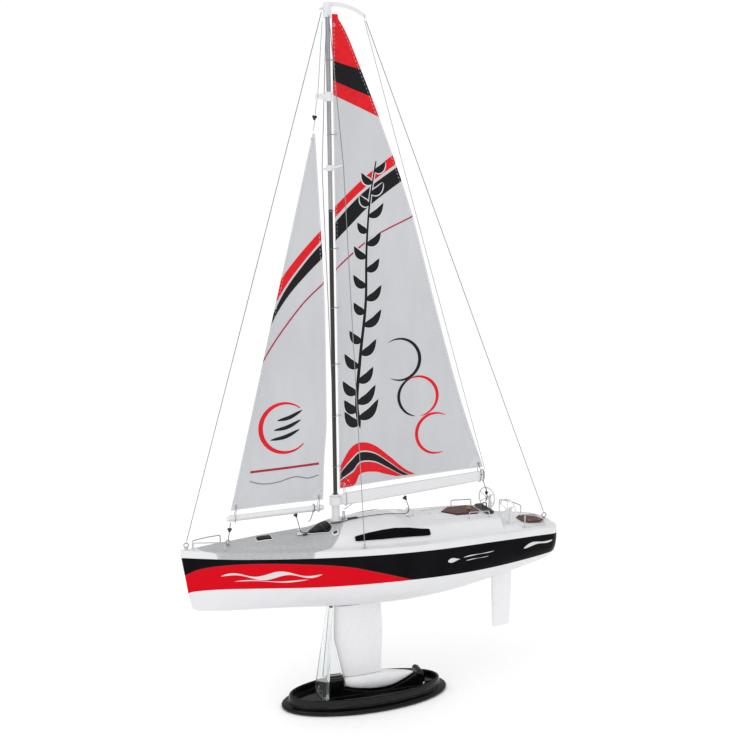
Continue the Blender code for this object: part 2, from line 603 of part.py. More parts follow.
sp = mast_point(SPREADER_Z)
SPREAD_TIP = {"port": np.array([24.5, sp[1] + 1.6, SPREADER_Z + 0.6]), "stbd": np.array([-24.5, sp[1] + 1.6, SPREADER_Z + 0.6])}
spreaders = new_object("spreaders", *ring_data(mast_point(SPREADER_Z - 1.8), mast_point(SPREADER_Z + 1.8), 2.4, MAST_R + 0.32, 18), WHITE, 0.3)
for label, sign in (("port", 1), ("stbd", -1)):
    root = np.array([sign * 1.95, sp[1], SPREADER_Z])
    join(spreaders, new_object("helper_spreader_" + label, *cyl_data(root, SPREAD_TIP[label], 0.85, 0.6, n=8), WHITE))

STAY_R = 0.25


def stay(name, path, r=STAY_R):
    return new_object(name, *tube_data(path, r, 6), STEEL, 0.3, 0.7)


bow_hook = np.array(BOW_EYE)
stay("forestay", [(0, -34.2, 453.0 - 0.3), (0, BOW_EYE[1] + 0.35, BOW_EYE[2] + 2.35)])
stay("backstay", [(0, -5.2, 449.2), (0, STERN_EYE[1] - 0.45, STERN_EYE[2] + 2.4)])
for label, sign in (("port", 1), ("stbd", -1)):
    tip = SPREAD_TIP[label] + np.array([sign * 0.75, 0.0, 0.0])
    chain = CHAIN[label]
    stay("shroud_" + label, [(sign * 3.1, -30.3, 450.2), tuple(tip), (chain[0], chain[1], chain[2] + 1.75)])

# ------------------------------------------------------------------ main boom

axis = (MAST_TOP - MAST_FOOT) / np.linalg.norm(MAST_TOP - MAST_FOOT)
boom_pivot = mast_point(140.0)
collar_a, collar_b = mast_point(137.2), mast_point(142.6)
main_boom = new_object("main_boom", *ring_data(collar_a, collar_b, 4.2, STEP_R + 0.32, 22), WHITE, 0.28, pivot=boom_pivot)


def boom_section(y, z, w, h):
    k = 0.32
    pts = [(-w, -h + k * w), (-w + k * w, -h), (w - k * w, -h), (w, -h + k * w), (w, h - k * w), (w - k * w, h), (-w + k * w, h), (-w, h - k * w)]
    return [(px, y, z + pz) for px, pz in pts]


boom_rings = [boom_section(-23.6, 140.1, 1.5, 2.6), boom_section(-21.5, 140.25, 2.0, 3.8), boom_section(-10, 141.2, 2.1, 3.9), boom_section(30, 144.4, 2.1, 3.7), boom_section(74, 148.3, 2.0, 3.2), boom_section(78.5, 148.7, 1.9, 3.1), boom_section(80.2, 148.9, 1.2, 2.4)]
join(main_boom, new_object("helper_boom", *loft(boom_rings), WHITE, pivot=boom_pivot))
cut(main_boom, new_object("helper_boom_bore", *cyl_data(mast_point(130), mast_point(150), STEP_R + 0.32, n=22), WHITE, pivot=boom_pivot))
cut(main_boom, new_object("helper_clew_hole", *cyl_data((-6, 77.4, 149.6), (6, 77.4, 149.6), 0.6, n=8), WHITE, pivot=boom_pivot))

# ------------------------------------------------------------------- jib boom

jib_axis = np.array([0.0, JIB_HEAD[0] - JIB_TACK[0], JIB_HEAD[1] - JIB_TACK[1]])
jib_axis /= np.linalg.norm(jib_axis)
jib_pivot = np.array([0.0, JIB_TACK[0], JIB_TACK[1]]) - jib_axis * 4.2
jib_boom = new_object("jib_boom", *cyl_data(JIB_BOOM_A, JIB_BOOM_B, 2.05, 1.95, n=14), WHITE, 0.28, pivot=jib_pivot)
join(jib_boom, new_object("helper_jib_nose", *cyl_data(JIB_BOOM_A + [0, 0.3, 0], JIB_BOOM_A - [0, 1.4, 0.05], 2.05, 1.1, n=14), WHITE, pivot=jib_pivot))
join(jib_boom, new_object("helper_jib_tail", *cyl_data(JIB_BOOM_B - [0, 0.3, 0], JIB_BOOM_B + [0, 1.3, 0.05], 1.95, 1.1, n=14), WHITE, pivot=jib_pivot))
cut(jib_boom, new_object("helper_tack_hole", *cyl_data((0, -96.9, 128), (0, -96.9, 140), 0.55, n=8), WHITE, pivot=jib_pivot))

# ---------------------------------------------------------------------- sails


def sail_solid(name, luff, leech, head_t, camber, rgb, pivot, n_v=12, n_u=8, skew=0.42):
    """A thin cambered sheet between a luff curve and a leech curve, both given by height fraction."""
    front, back = [], []
    for i in range(n_v + 1):
        v = i / n_v
        a, b = np.array(luff(v), float), np.array(leech(v), float)
        rf, rb = [], []
        for j in range(n_u + 1):
            u = j / n_u
            p = a + (b - a) * u
            chord = np.linalg.norm(b - a)
            depth = camber * (chord / 100.0) * (0.45 + 1.1 * v * (1 - v) * 2) * 4 * (u**0.8) * (1 - u) * (1.0 - 0.25 * v)
            rf.append((-depth + SAIL_T / 2, p[0], p[1]))
            rb.append((-depth - SAIL_T / 2, p[0], p[1]))
        front.append(rf)
        back.append(rb)
    m = n_u + 1
    verts = [p for r in front for p in r] + [p for r in back for p in r]
    off = (n_v + 1) * m
    faces = []
    for i in range(n_v):
        for j in range(n_u):
            a = i * m + j
            faces.append((a, a + 1, a + 1 + m, a + m))
            faces.append((off + a, off + a + m, off + a + 1 + m, off + a + 1))
    for i in range(n_v):
        for j in (0, n_u):
            a, b = i * m + j, (i + 1) * m + j
            faces.append((a, b, off + b, off + a))
    for j in range(n_u):
        for i in (0, n_v):
            a, b = i * m + j, i * m + j + 1
            faces.append((a, b, off + b, off + a))
    return new_object(name, verts, faces, rgb, 0.7, pivot=pivot)


def main_luff(v):
    z = MAIN_TACK[1] + (MAIN_HEAD[1] - MAIN_TACK[1]) * v
    return (mast_point(z)[1] + 2.9, z)


LEECH = [(0.0, 79.0, 154.6), (0.155, 62.1, 202.5), (0.386, 41.9, 271.4), (0.575, 26.6, 327.0), (0.79, 3.3, 390.1), (0.885, -8.2, 417.9), (0.97, -19.6, 443.5), (1.0, -23.6, 449.6)]


def main_leech(v):
    return (smooth_table(v, [(a, b) for a, b, _ in LEECH]), smooth_table(v, [(a, c) for a, _, c in LEECH]))


sail_solid("mainsail", main_luff, main_leech, 0, MAIN_CAMBER, (0.6, 0.6, 0.62), boom_pivot, 14, 8)


def jib_luff(v):
    return (JIB_TACK[0] + (JIB_HEAD[0] - JIB_TACK[0]) * v, JIB_TACK[1] + (JIB_HEAD[1] - JIB_TACK[1]) * v)


JLEECH = [(0.0, -35.9, 141.2), (0.12, -34.8, 168.0), (0.23, -33.0, 194.0), (0.5, -33.4, 258.0), (0.8, -36.4, 330.0), (1.0, -39.0, 378.0)]


def jib_leech(v):
    return (smooth_table(v, [(a, b) for a, b, _ in JLEECH]), smooth_table(v, [(a, c) for a, _, c in JLEECH]))


sail_solid("jib_sail", jib_luff, jib_leech, 0, JIB_CAMBER, (0.6, 0.6, 0.62), jib_pivot, 12, 6)

# -------------------------------------------------------------- keel and bulb


def foil_ring(y0, y1, half, z):
    pts = []
    for s, w in ((0.0, 0.16), (0.05, 0.62), (0.14, 0.9), (0.3, 1.0), (0.55, 0.86), (0.8, 0.5), (1.0, 0.12)):
        pts.append((half * w, y0 + (y1 - y0) * s, z))
    return pts + [(-x, y, zz) for x, y, zz in reversed(pts)]


fin_rows = [(FIN_BOTTOM, -23.2, 4.0, 2.6), (24, -24.7, 4.4, 2.8), (34, -27.0, 4.7, 2.9), (45.8, -29.2, 5.1, 3.0), (56, -29.1, 4.6, 3.1), (FIN_TOP, -29.0, 4.0, 3.2)]
fin = new_object("keel_fin", *loft([foil_ring(a, b, h, z) for z, a, b, h in fin_rows]), WHITE, 0.3)
stud_top = keel_line(fin_stud_y) + 7.0
join(fin, new_object("helper_stud", *cyl_data((0, fin_stud_y, FIN_TOP - 4), (0, fin_stud_y, stud_top), 1.5, n=14), STEEL))
nut_z = keel_line(fin_stud_y) + HULL_WALL * 1.15 + 0.9
nut = new_object("keel_nut", *ring_data((0, fin_stud_y, nut_z), (0, fin_stud_y, nut_z + 2.6), 3.2, 2.1, 6), (0.5, 0.42, 0.2), 0.3, 1.0)

BULB_LOW = [(-22.6, 10.6), (-21.5, 9.4), (-15.3, 7.6), (-8, 6.0), (-2.3, 5.3), (5, 5.1), (10.8, 5.7), (19.8, 8.8), (25.5, 11.3), (27.7, 12.3)]
BULB_TOP = [(-22.6, 15.6), (-21.5, 16.2), (3.9, 16.4), (15, 15.2), (25.5, 13.6), (27.7, 13.0)]
BULB_W = [(-22.6, 0.55), (-21.5, 0.72), (-17, 0.9), (-8, 1.0), (4, 1.0), (14, 0.82), (22, 0.5), (26.5, 0.25), (27.7, 0.12)]


def bulb_ring(y):
    lo, hi = smooth_table(y, BULB_LOW), smooth_table(y, BULB_TOP)
    w = BULB_HALF * smooth_table(y, BULB_W)
    pts = []
    for k in range(14):
        a = 2 * math.pi * k / 14 + math.pi / 14
        c, s = math.cos(a), math.sin(a)
        x = w * math.copysign(abs(c) ** 0.85, c)
        f = math.copysign(abs(s) ** 0.85, s)
        if f > 0.72:
            f = 1.0
        pts.append((x, y, (lo + hi) / 2 + (hi - lo) / 2 * f))
    return pts


new_object("ballast_bulb", *loft([bulb_ring(y) for y in (-22.6, -21.5, -18, -12, -4, 4, 10, 16, 21, 25, 27.7)]), WHITE, 0.3)

# -------------------------------------------------------------------- rudder

rud_pivot = (0.0, RUDDER_AXIS_Y, 80.0)


def rudder_ring(y0, y1, half, z0, z1):
    ring = foil_ring(y0, y1, half, 0)
    return [(x, y, z0 + (z1 - z0) * (y - y0) / (y1 - y0)) for x, y, _ in ring]


rud_rows = [(87.9, 100.6, 1.3, RUDDER_BOTTOM - 0.4, RUDDER_BOTTOM + 0.8), (87.3, 101.2, 1.5, 48, 49), (86.7, 101.9, 1.7, 62, 63.5), (86.3, 102.0, 1.8, 75.6, 78.6)]
rudder = new_object("rudder_blade", *loft([rudder_ring(*r) for r in rud_rows]), WHITE, 0.3, pivot=rud_pivot)
join(rudder, new_object("helper_stock", *cyl_data((0, RUDDER_AXIS_Y, 70), (0, RUDDER_AXIS_Y, TILLER_Z + 3.2), 1.1, n=14), STEEL, pivot=rud_pivot))
rud_hull_z = keel_line(RUDDER_AXIS_Y)
new_object("rudder_tube", *ring_data((0, RUDDER_AXIS_Y, rud_hull_z + 0.6), (0, RUDDER_AXIS_Y, TILLER_Z - 2.6), 2.0, 1.1 + GAP, 16), (0.3, 0.3, 0.32), 0.5)
tiller = new_object("tiller_arm", *ring_data((0, RUDDER_AXIS_Y, TILLER_Z - 1.8), (0, RUDDER_AXIS_Y, TILLER_Z + 1.8), 2.6, 1.1 + GAP, 16), (0.05, 0.05, 0.05), 0.5, pivot=(0, RUDDER_AXIS_Y, TILLER_Z))
join(tiller, new_object("helper_tiller_bar", *box_data((TILLER_ARM / 2 + 1.4, RUDDER_AXIS_Y, TILLER_Z), (TILLER_ARM, 2.6, 1.4)), BLACK, pivot=(0, RUDDER_AXIS_Y, TILLER_Z)))
cut(tiller, new_object("helper_tiller_bore", *cyl_data((0, RUDDER_AXIS_Y, TILLER_Z - 5), (0, RUDDER_AXIS_Y, TILLER_Z + 5), 1.1 + GAP, n=16), BLACK, pivot=(0, RUDDER_AXIS_Y, TILLER_Z)))
cut(tiller, new_object("helper_tiller_hole", *cyl_data((TILLER_ARM, RUDDER_AXIS_Y, TILLER_Z - 5), (TILLER_ARM, RUDDER_AXIS_Y, TILLER_Z + 5), 0.75, n=10), BLACK, pivot=(0, RUDDER_AXIS_Y, TILLER_Z)))

# The rudder servo: its horn is as long as the tiller, so the rod stays parallel.
SERVO_TOP = TILLER_Z - 4.0
rud_servo = new_object("rudder_servo", *chamfer_box_data((0, SERVO_Y - 5.2, SERVO_TOP - 10.0), (12.0, 22.6, 20.0), 0.5), (0.03, 0.05, 0.16), 0.4)
join(rud_servo, new_object("helper_servo_ears", *box_data((0, SERVO_Y - 5.2, SERVO_TOP - 6.4), (11.6, 31.5, 1.6)), BLACK))
join(rud_servo, new_object("helper_servo_neck", *cyl_data((0, SERVO_Y, SERVO_TOP - 1), (0, SERVO_Y, SERVO_TOP + 1.6), 3.0, n=16), BLACK))
horn = new_object("rudder_servo_horn", *cyl_data((0, SERVO_Y, SERVO_TOP + 1.9), (0, SERVO_Y, SERVO_TOP + 4.0), 2.8, n=16), WHITE, 0.4, pivot=(0, SERVO_Y, TILLER_Z))
join(horn, new_object("helper_horn_bar", *box_data((TILLER_ARM / 2 + 0.9, SERVO_Y, TILLER_Z - 0.2), (TILLER_ARM + 1.0, 2.8, 1.4)), WHITE, pivot=(0, SERVO_Y, TILLER_Z)))
cut(horn, new_object("helper_horn_hole", *cyl_data((TILLER_ARM, SERVO_Y, TILLER_Z - 5), (TILLER_ARM, SERVO_Y, TILLER_Z + 5), 0.75, n=10), WHITE, pivot=(0, SERVO_Y, TILLER_Z)))
rod_path = rounded([(TILLER_ARM, SERVO_Y, TILLER_Z - 1.8), (TILLER_ARM, SERVO_Y, TILLER_Z + 2.2), (TILLER_ARM, RUDDER_AXIS_Y, TILLER_Z + 2.2), (TILLER_ARM, RUDDER_AXIS_Y, TILLER_Z - 1.8)], 0.9, 3)
new_object("rudder_pushrod", *tube_data(rod_path, 0.42, 8), STEEL, 0.3, 1.0, pivot=(TILLER_ARM, SERVO_Y, TILLER_Z))

# Sail servo with its long arm, both sheets lead to it.
SAIL_SERVO_Y = 6.0
SAIL_TOP = 104.0
sail_servo = new_object("sail_servo", *chamfer_box_data((0, SAIL_SERVO_Y - 5.2, SAIL_TOP - 11.0), (12.0, 23.0, 22.0), 0.5), (0.03, 0.05, 0.16), 0.4)
join(sail_servo, new_object("helper_sail_ears", *box_data((0, SAIL_SERVO_Y - 5.2, SERVO_TOP - 6.4), (11.6, 32.0, 1.6)), BLACK))
join(sail_servo, new_object("helper_sail_neck", *cyl_data((0, SAIL_SERVO_Y, SAIL_TOP - 1), (0, SAIL_SERVO_Y, SAIL_TOP + 1.8), 3.0, n=16), BLACK))
arm_z = SAIL_TOP + 3.4
sail_arm = new_object("sail_servo_arm", *cyl_data((0, SAIL_SERVO_Y, arm_z - 1.3), (0, SAIL_SERVO_Y, arm_z + 1.0), 3.6, n=16), WHITE, 0.4, pivot=(0, SAIL_SERVO_Y, arm_z))
join(sail_arm, new_object("helper_arm_bar", *box_data((10.0, SAIL_SERVO_Y, arm_z), (20.0, 4.0, 1.6)), WHITE, pivot=(0, SAIL_SERVO_Y, arm_z)))
cut(sail_arm, new_object("helper_arm_hole", *cyl_data((17.6, SAIL_SERVO_Y, arm_z - 5), (17.6, SAIL_SERVO_Y, arm_z + 5), 0.8, n=10), WHITE, pivot=(0, SAIL_SERVO_Y, arm_z)))

# Servo tray: a plate under both servos' ears that stands on the hull bottom.
EAR_LOW = SERVO_TOP - 7.2
tray_top = EAR_LOW - GAP


def hull_inside(x, y):
    """Height of the hull's inner surface over the point (x, y)."""
    t = (y + 124.0) / 254.0
    half = [p for p in hull_ring(t, HULL_WALL) if p[0] >= -1e-6]
    half.sort(key=lambda p: p[0])
    return float(np.interp(abs(x), [p[0] for p in half], [p[2] for p in half]))


tray = new_object("equipment_tray", *box_data((0, 29.5, tray_top - 0.9), (25.0, 99.0, 1.8)), (0.12, 0.12, 0.13), 0.5)
for lx in (-9.6, 9.6):
    for ly in (-17.0, 76.0):
        low = max(hull_inside(lx - 1.8, ly), hull_inside(lx + 1.8, ly), hull_inside(lx, ly - 1.8), hull_inside(lx, ly + 1.8))
        join(tray, new_object(f"helper_leg_{lx:.0f}_{ly:.0f}", *cyl_data((lx, ly, low + 2 * GAP), (lx, ly, tray_top - 0.9), 1.8, n=12), WHITE))
cut(tray, new_object("helper_tray_a", *box_data((0, SAIL_SERVO_Y - 5.2, tray_top), (12.8, 23.8, 9.0)), WHITE))
cut(tray, new_object("helper_tray_b", *box_data((0, SERVO_Y - 5.2, tray_top), (12.8, 23.4, 9.0)), WHITE))
rx_low = max(hull_inside(7.0, y) for y in (-66.0, -52.0, -38.0)) + 2 * GAP
new_object("receiver", *chamfer_box_data((0, -52.0, rx_low + 5.0), (14.0, 28.0, 10.0), 0.8), (0.05, 0.05, 0.06), 0.5)
bat_low = max(hull_inside(12.0, y) for y in (21.0, 32.0, 43.0)) + 2 * GAP
new_object("battery_box", *chamfer_box_data((0, 32.0, bat_low + 6.0), (24.0, 22.0, 12.0), 0.8), (0.04, 0.04, 0.045), 0.5)

# --------------------------------------------------------------------- cords

CORD_R = 0.25


def smooth_path(points, count):
    """Catmull-Rom curve through the points, sampled evenly in parameter."""
    pts = [np.array(p, float) for p in points]
    pts = [2 * pts[0] - pts[1]] + pts + [2 * pts[-1] - pts[-2]]
    out = []
    for k in range(count):
        u = k / (count - 1) * (len(pts) - 3)
        i = min(int(u), len(pts) - 4)
        t = u - i
        p0, p1, p2, p3 = pts[i : i + 4]
        out.append(0.5 * (2 * p1 + (p2 - p0) * t + (2 * p0 - 5 * p1 + 4 * p2 - p3) * t * t + (3 * p1 - 3 * p2 + p3 - p0) * t**3))
    return out


def cord(name, points, count, rgb=(0.02, 0.02, 0.02), r=CORD_R):
    curve = bpy.data.curves.new(name, "CURVE")
    curve.dimensions = "3D"
    curve.bevel_depth = r * MM
    curve.bevel_resolution = 1
    curve.use_fill_caps = True
    spline = curve.splines.new("POLY")
    pts = smooth_path(points, count)
    spline.points.add(len(pts) - 1)
    for q, pt in zip(spline.points, pts):
        q.co = (*(float(c) * MM for c in pt), 1.0)
    obj = bpy.data.objects.new(name, curve)
    bpy.context.scene.collection.objects.link(obj)
    material = bpy.data.materials.new(name + "_mat")
    material.use_nodes = True
    shader = material.node_tree.nodes["Principled BSDF"]
    shader.inputs["Base Color"].default_value = (*rgb, 1.0)
    shader.inputs["Roughness"].default_value = 0.7
    curve.materials.append(material)
    return obj


boom_tip_top = (0.0, 80.5, 152.6)
cord("topping_lift", [(0.0, -6.2, 449.4), (0.0, 22.6, 350.0), (0.0, 51.8, 250.0), boom_tip_top], 16, (0.4, 0.4, 0.4), 0.2)
cord("main_sheet", [(0.0, 79.2, 144.7), (0.9, 81.0, 139.0), (0.6, 82.2, 133.0), (0.0, 81.0, SHEET_LOOP[2] + 2.5)], 12)
cord("jib_halyard", [(0.0, -40.3, 380.2), (0.0, -39.2, 387.0), (0.0, -37.9, 399.0)], 8, (0.4, 0.4, 0.4), 0.2)
tack_top = JIB_BOOM_A[2] - 2.05 - 0.7
cord("tack_line", [(0.0, -97.6, tack_top), (0.0, -98.3, 126.0), (0.0, -99.3, TACK_EYE[2] + 2.2)], 8)
post_z = pad_z(-1.9, 1.9, -53.9, -50.1) + GAP
aft_z = pad_z(-1.9, 1.9, 21.7, 25.5) + GAP


def over_deck(x, y, lift):
    return (x, y, deck_z(x, y) + lift)


cord(
    "sheet_line",
    [
        (0.3, -54.6, 132.4),
        (1.6, -53.2, 127.0),
        (2.0, -51.8, post_z + 2.6),
        over_deck(2.9, -48.6, 1.6),
        over_deck(3.8, -44.0, 2.0),
        over_deck(4.4, -38.0, 2.1),
        over_deck(4.9, -32.4, 2.1),
        over_deck(5.2, -27.3, 0.9),
        over_deck(4.0, -20.0, 0.8),
        over_deck(2.6, -12.0, 0.8),
        over_deck(1.8, -2.0, 0.75),
        over_deck(1.8, 8.0, 0.8),
        over_deck(2.0, 16.0, 1.2),
        (2.1, 21.6, aft_z + 2.0),
        (1.9, 23.8, aft_z + 4.4),
        (1.2, 22.6, 134.4),
        (0.3, 20.9, 139.0),
    ],
    58,
)

# --------------------------------------------------------------------- stand


def oval(a, b, z, expo=2.0, n=48):
    pts = []
    for k in range(n):
        t = 2 * math.pi * k / n
        c, s = math.cos(t), math.sin(t)
        pts.append((b * math.copysign(abs(c) ** (2 / expo), c), BASE_Y + a * math.copysign(abs(s) ** (2 / expo), s), z))
    return pts


base_rings = [
    oval(BASE_A - 0.7, BASE_B - 0.7, 0.0),
    oval(BASE_A, BASE_B, 0.7),
    oval(BASE_A, BASE_B, 2.0),
    oval(BASE_A - 0.8, BASE_B - 0.8, 2.7),
    oval(TIER_A + 1.4, TIER_B + 1.4, 3.1),
    oval(TIER_A + 0.4, TIER_B + 0.4, 3.8),
    oval(TIER_A, TIER_B, 7.9),
    oval(TIER_A - 0.4, TIER_B - 0.4, 8.5),
    oval(TIER_A - 1.1, TIER_B - 1.1, 8.7),
    oval(TIER_A - 2.0, TIER_B - 2.0, 8.2),
    oval(TIER_A - 2.6, TIER_B - 2.6, TRAY_Z),
]
base = new_object("stand_base", *loft(base_rings), BLACK, 0.12)


def extrude_x(pts, half):
    return loft([[(-half, y, z) for y, z in pts], [(half, y, z) for y, z in pts]])


seat = [(y, smooth_table(y, BULB_LOW) - 0.45) for y in (-21.0, -15.3, -8, -2.3, 5, 10.8, 19.8, 25.5, 28.0)]
ridge = [(-33.5, 2.5), (-33.0, 16.6), (-32.2, 17.4), (-23.9, 17.2), (-23.4, 9.0)] + seat + [(28.4, 13.6), (29.2, 15.2), (31.0, 15.6), (33.2, 14.6), (34.6, 9.5), (35.4, 2.5)]
join(base, new_object("helper_ridge", *extrude_x(ridge, 4.8), BLACK))
foot_hook = new_object("helper_foot", *box_data((0, 37.5, 4.0), (6.0, 9.0, 3.0)), BLACK)
join(base, foot_hook)


def tray_half(y):
    return (TIER_B - 2.6) * math.sqrt(max(0.0, 1 - ((y - BASE_Y) / (TIER_A - 2.6)) ** 2))


PYLON_Y0, PYLON_Y1 = -38.2, -31.9
w0, w1 = tray_half(PYLON_Y0) - 0.5, 4.4
pylon_rings = []
for y, z, w in ((PYLON_Y0, TRAY_Z + GAP, w0), (PYLON_Y1, 67.6, w1)):
    pylon_rings.append([(-w, y - 1.0, z), (w, y - 1.0, z), (w, y + 1.0, z), (-w, y + 1.0, z)])
pylon = new_object("stand_pylon", *loft(pylon_rings), (0.85, 0.92, 0.92), 0.05, alpha=0.1)
rib = [(-36.4, 18.0), (-24.6, 18.0), (-26.2, 26.0), (-28.2, 35.0), (-29.9, 46.0), (-29.75, 56.0), (-29.7, 67.0), (-32.0, 67.0)]
join(pylon, new_object("helper_rib", *extrude_x(rib, 0.9), WHITE))

bpy.context.view_layer.update()
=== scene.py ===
import json
import math

import bmesh
import bpy
import numpy as np
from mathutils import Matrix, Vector

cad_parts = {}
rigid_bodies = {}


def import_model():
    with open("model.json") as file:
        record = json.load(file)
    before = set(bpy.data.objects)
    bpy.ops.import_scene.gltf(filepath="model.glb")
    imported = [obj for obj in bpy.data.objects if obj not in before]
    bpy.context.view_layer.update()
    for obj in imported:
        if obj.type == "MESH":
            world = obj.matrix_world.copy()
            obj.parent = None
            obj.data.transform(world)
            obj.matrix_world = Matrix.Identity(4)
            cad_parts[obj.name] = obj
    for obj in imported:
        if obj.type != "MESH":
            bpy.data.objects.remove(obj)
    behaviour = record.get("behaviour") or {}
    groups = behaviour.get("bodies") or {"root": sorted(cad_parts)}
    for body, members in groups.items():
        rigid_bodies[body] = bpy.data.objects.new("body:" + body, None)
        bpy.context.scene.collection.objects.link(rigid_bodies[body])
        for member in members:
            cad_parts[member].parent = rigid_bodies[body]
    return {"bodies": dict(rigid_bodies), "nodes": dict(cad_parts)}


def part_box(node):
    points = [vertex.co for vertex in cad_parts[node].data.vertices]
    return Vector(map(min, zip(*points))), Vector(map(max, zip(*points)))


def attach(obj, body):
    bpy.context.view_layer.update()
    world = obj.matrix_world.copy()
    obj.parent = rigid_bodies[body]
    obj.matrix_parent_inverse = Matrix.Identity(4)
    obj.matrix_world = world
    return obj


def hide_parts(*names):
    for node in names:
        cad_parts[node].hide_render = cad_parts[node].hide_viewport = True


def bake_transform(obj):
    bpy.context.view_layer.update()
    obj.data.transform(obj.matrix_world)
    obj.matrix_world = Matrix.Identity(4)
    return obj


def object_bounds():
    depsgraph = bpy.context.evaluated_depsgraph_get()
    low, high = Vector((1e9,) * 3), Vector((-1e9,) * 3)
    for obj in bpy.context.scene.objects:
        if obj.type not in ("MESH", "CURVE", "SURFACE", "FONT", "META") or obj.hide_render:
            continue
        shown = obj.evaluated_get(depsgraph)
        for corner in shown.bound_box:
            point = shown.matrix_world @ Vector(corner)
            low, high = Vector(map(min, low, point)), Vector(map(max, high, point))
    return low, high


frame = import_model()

MM = 0.001
GAP = 0.3


def corners():
    lo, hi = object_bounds()
    return [[float(v) for v in lo], [float(v) for v in hi]]


cad_box = corners()

# ------------------------------------------------------------------- camera

lo, hi = (Vector(c) for c in cad_box)
aim = Vector((0.0, 0.0123, (lo.z + hi.z) / 2))
AZ, EL, DIST = math.radians(71.22), math.radians(7.56), 0.6930
back = Vector((math.sin(AZ) * math.cos(EL), -math.cos(AZ) * math.cos(EL), math.sin(EL)))
cam_data = bpy.data.cameras.new("camera")
cam_data.lens = 50.95
cam_data.sensor_width = 36.0
cam_data.shift_x = -0.0327
cam_data.shift_y = -0.0056
cam_data.clip_start, cam_data.clip_end = 0.01, 50.0
cam = bpy.data.objects.new("camera", cam_data)
bpy.context.scene.collection.objects.link(cam)
cam.location = aim + back * DIST
cam.rotation_mode = "QUATERNION"
cam.rotation_quaternion = (-back).to_track_quat("-Z", "Y")
bpy.context.scene.camera = cam

# ------------------------------------------- shapes shared with the solid model

QS = [0.0, 0.14, 0.28, 0.42, 0.56, 0.68, 0.78, 0.86, 0.93, 0.975, 1.0]
# Hull, mm
BOW_Y, STERN_Y = -130.0, 130.0
HALF_BEAM = 36.3
TRANSOM_HALF = 19.5
STERN_CORNER_R = 8.0
RIM_DEPTH = 4.2  # height of the white rim that belongs to the deck moulding
HULL_WALL = 1.5
DECK_WALL = 1.4
# Rig, mm
MAST_FOOT = np.array([0.0, -27.3, 126.2])
MAST_TOP = np.array([0.0, -30.4, 456.5])
MAST_R = 1.4
STEP_R, STEP_BORE = 2.7, 1.75
STEP_TOP = 144.1
SPREADER_Z = 357.0
# Main boom and sail, mm
BOOM_END = np.array([0.0, 80.0, 149.0])
MAIN_HEAD = (-26.6, 449.0)
MAIN_TACK = (-23.4, 147.4)
MAIN_CLEW = (79.0, 154.6)
# Jib, mm
JIB_TACK = (-97.3, 138.9)
JIB_HEAD = (-40.5, 378.6)
JIB_CLEW = (-35.9, 141.2)
JIB_BOOM_A = np.array([0.0, -98.7, 133.8])
JIB_BOOM_B = np.array([0.0, -36.7, 135.9])
SAIL_T = 0.5
MAIN_CAMBER = 4.2
JIB_CAMBER = 3.0
# Keel and rudder, mm
FIN_TOP, FIN_BOTTOM = 67.0, 16.7
BULB_HALF = 5.6
RUDDER_AXIS_Y = 91.0
RUDDER_BOTTOM = 38.0
TILLER_Z = 104.0
TILLER_ARM = 11.0
SERVO_Y = 64.0
# Stand, mm
BASE_Y = -7.0
BASE_A, BASE_B = 58.8, 26.8
TIER_A, TIER_B = 53.6, 21.4
TRAY_Z = 4.0
WHEEL_R = 7.6
WHEEL_X, WHEEL_Y, WHEEL_Z = 17.4, 90.0, 127.4
WHEEL_TURN = math.radians(24)  # the columns stand turned towards port

TRUNK_H = [(-130, 1.0), (-94, 1.2), (-90, 1.8), (-84, 3.0), (-76, 3.7), (-62, 3.6), (-52, 3.7), (-44, 5.0), (-36, 7.6), (-30, 10.1), (-24, 11.2), (-12, 12.0), (4, 12.6), (12, 12.2), (20, 10.3), (25, 9.3), (40, 9.3), (46, 9.4), (84.0, 8.8), (85.4, 3.4), (99, 3.1), (101, 0.6), (104, 0.2), (124, 0.2), (127, 0.7), (130, 0.8)]

TRUNK_W = [(-130, 0.3), (-94, 9.0), (-84, 14.0), (-60, 19.5), (-30, 25.5), (0, 28.5), (30, 29.2), (60, 27.2), (84, 25.0), (92, 24.6), (101, 21.5), (130, 13.0)]

CROWN = [(-94, 0.20), (-50, 0.26), (-34, 0.34), (-12, 0.27), (8, 0.20), (24, 0.14), (84, 0.10)]

LEECH = [(0.0, 79.0, 154.6), (0.155, 62.1, 202.5), (0.386, 41.9, 271.4), (0.575, 26.6, 327.0), (0.79, 3.3, 390.1), (0.885, -8.2, 417.9), (0.97, -19.6, 443.5), (1.0, -23.6, 449.6)]

JLEECH = [(0.0, -35.9, 141.2), (0.12, -34.8, 168.0), (0.23, -33.0, 194.0), (0.5, -33.4, 258.0), (0.8, -36.4, 330.0), (1.0, -39.0, 378.0)]

BULB_LOW = [(-22.6, 10.6), (-21.5, 9.4), (-15.3, 7.6), (-8, 6.0), (-2.3, 5.3), (5, 5.1), (10.8, 5.7), (19.8, 8.8), (25.5, 11.3), (27.7, 12.3)]
BULB_TOP = [(-22.6, 15.6), (-21.5, 16.2), (3.9, 16.4), (15, 15.2), (25.5, 13.6), (27.7, 13.0)]
BULB_W = [(-22.6, 0.55), (-21.5, 0.72), (-17, 0.9), (-8, 1.0), (4, 1.0), (14, 0.82), (22, 0.5), (26.5, 0.25), (27.7, 0.12)]



def lerp_table(v, table):
    xs, ys = zip(*table)
    return float(np.interp(v, xs, ys))


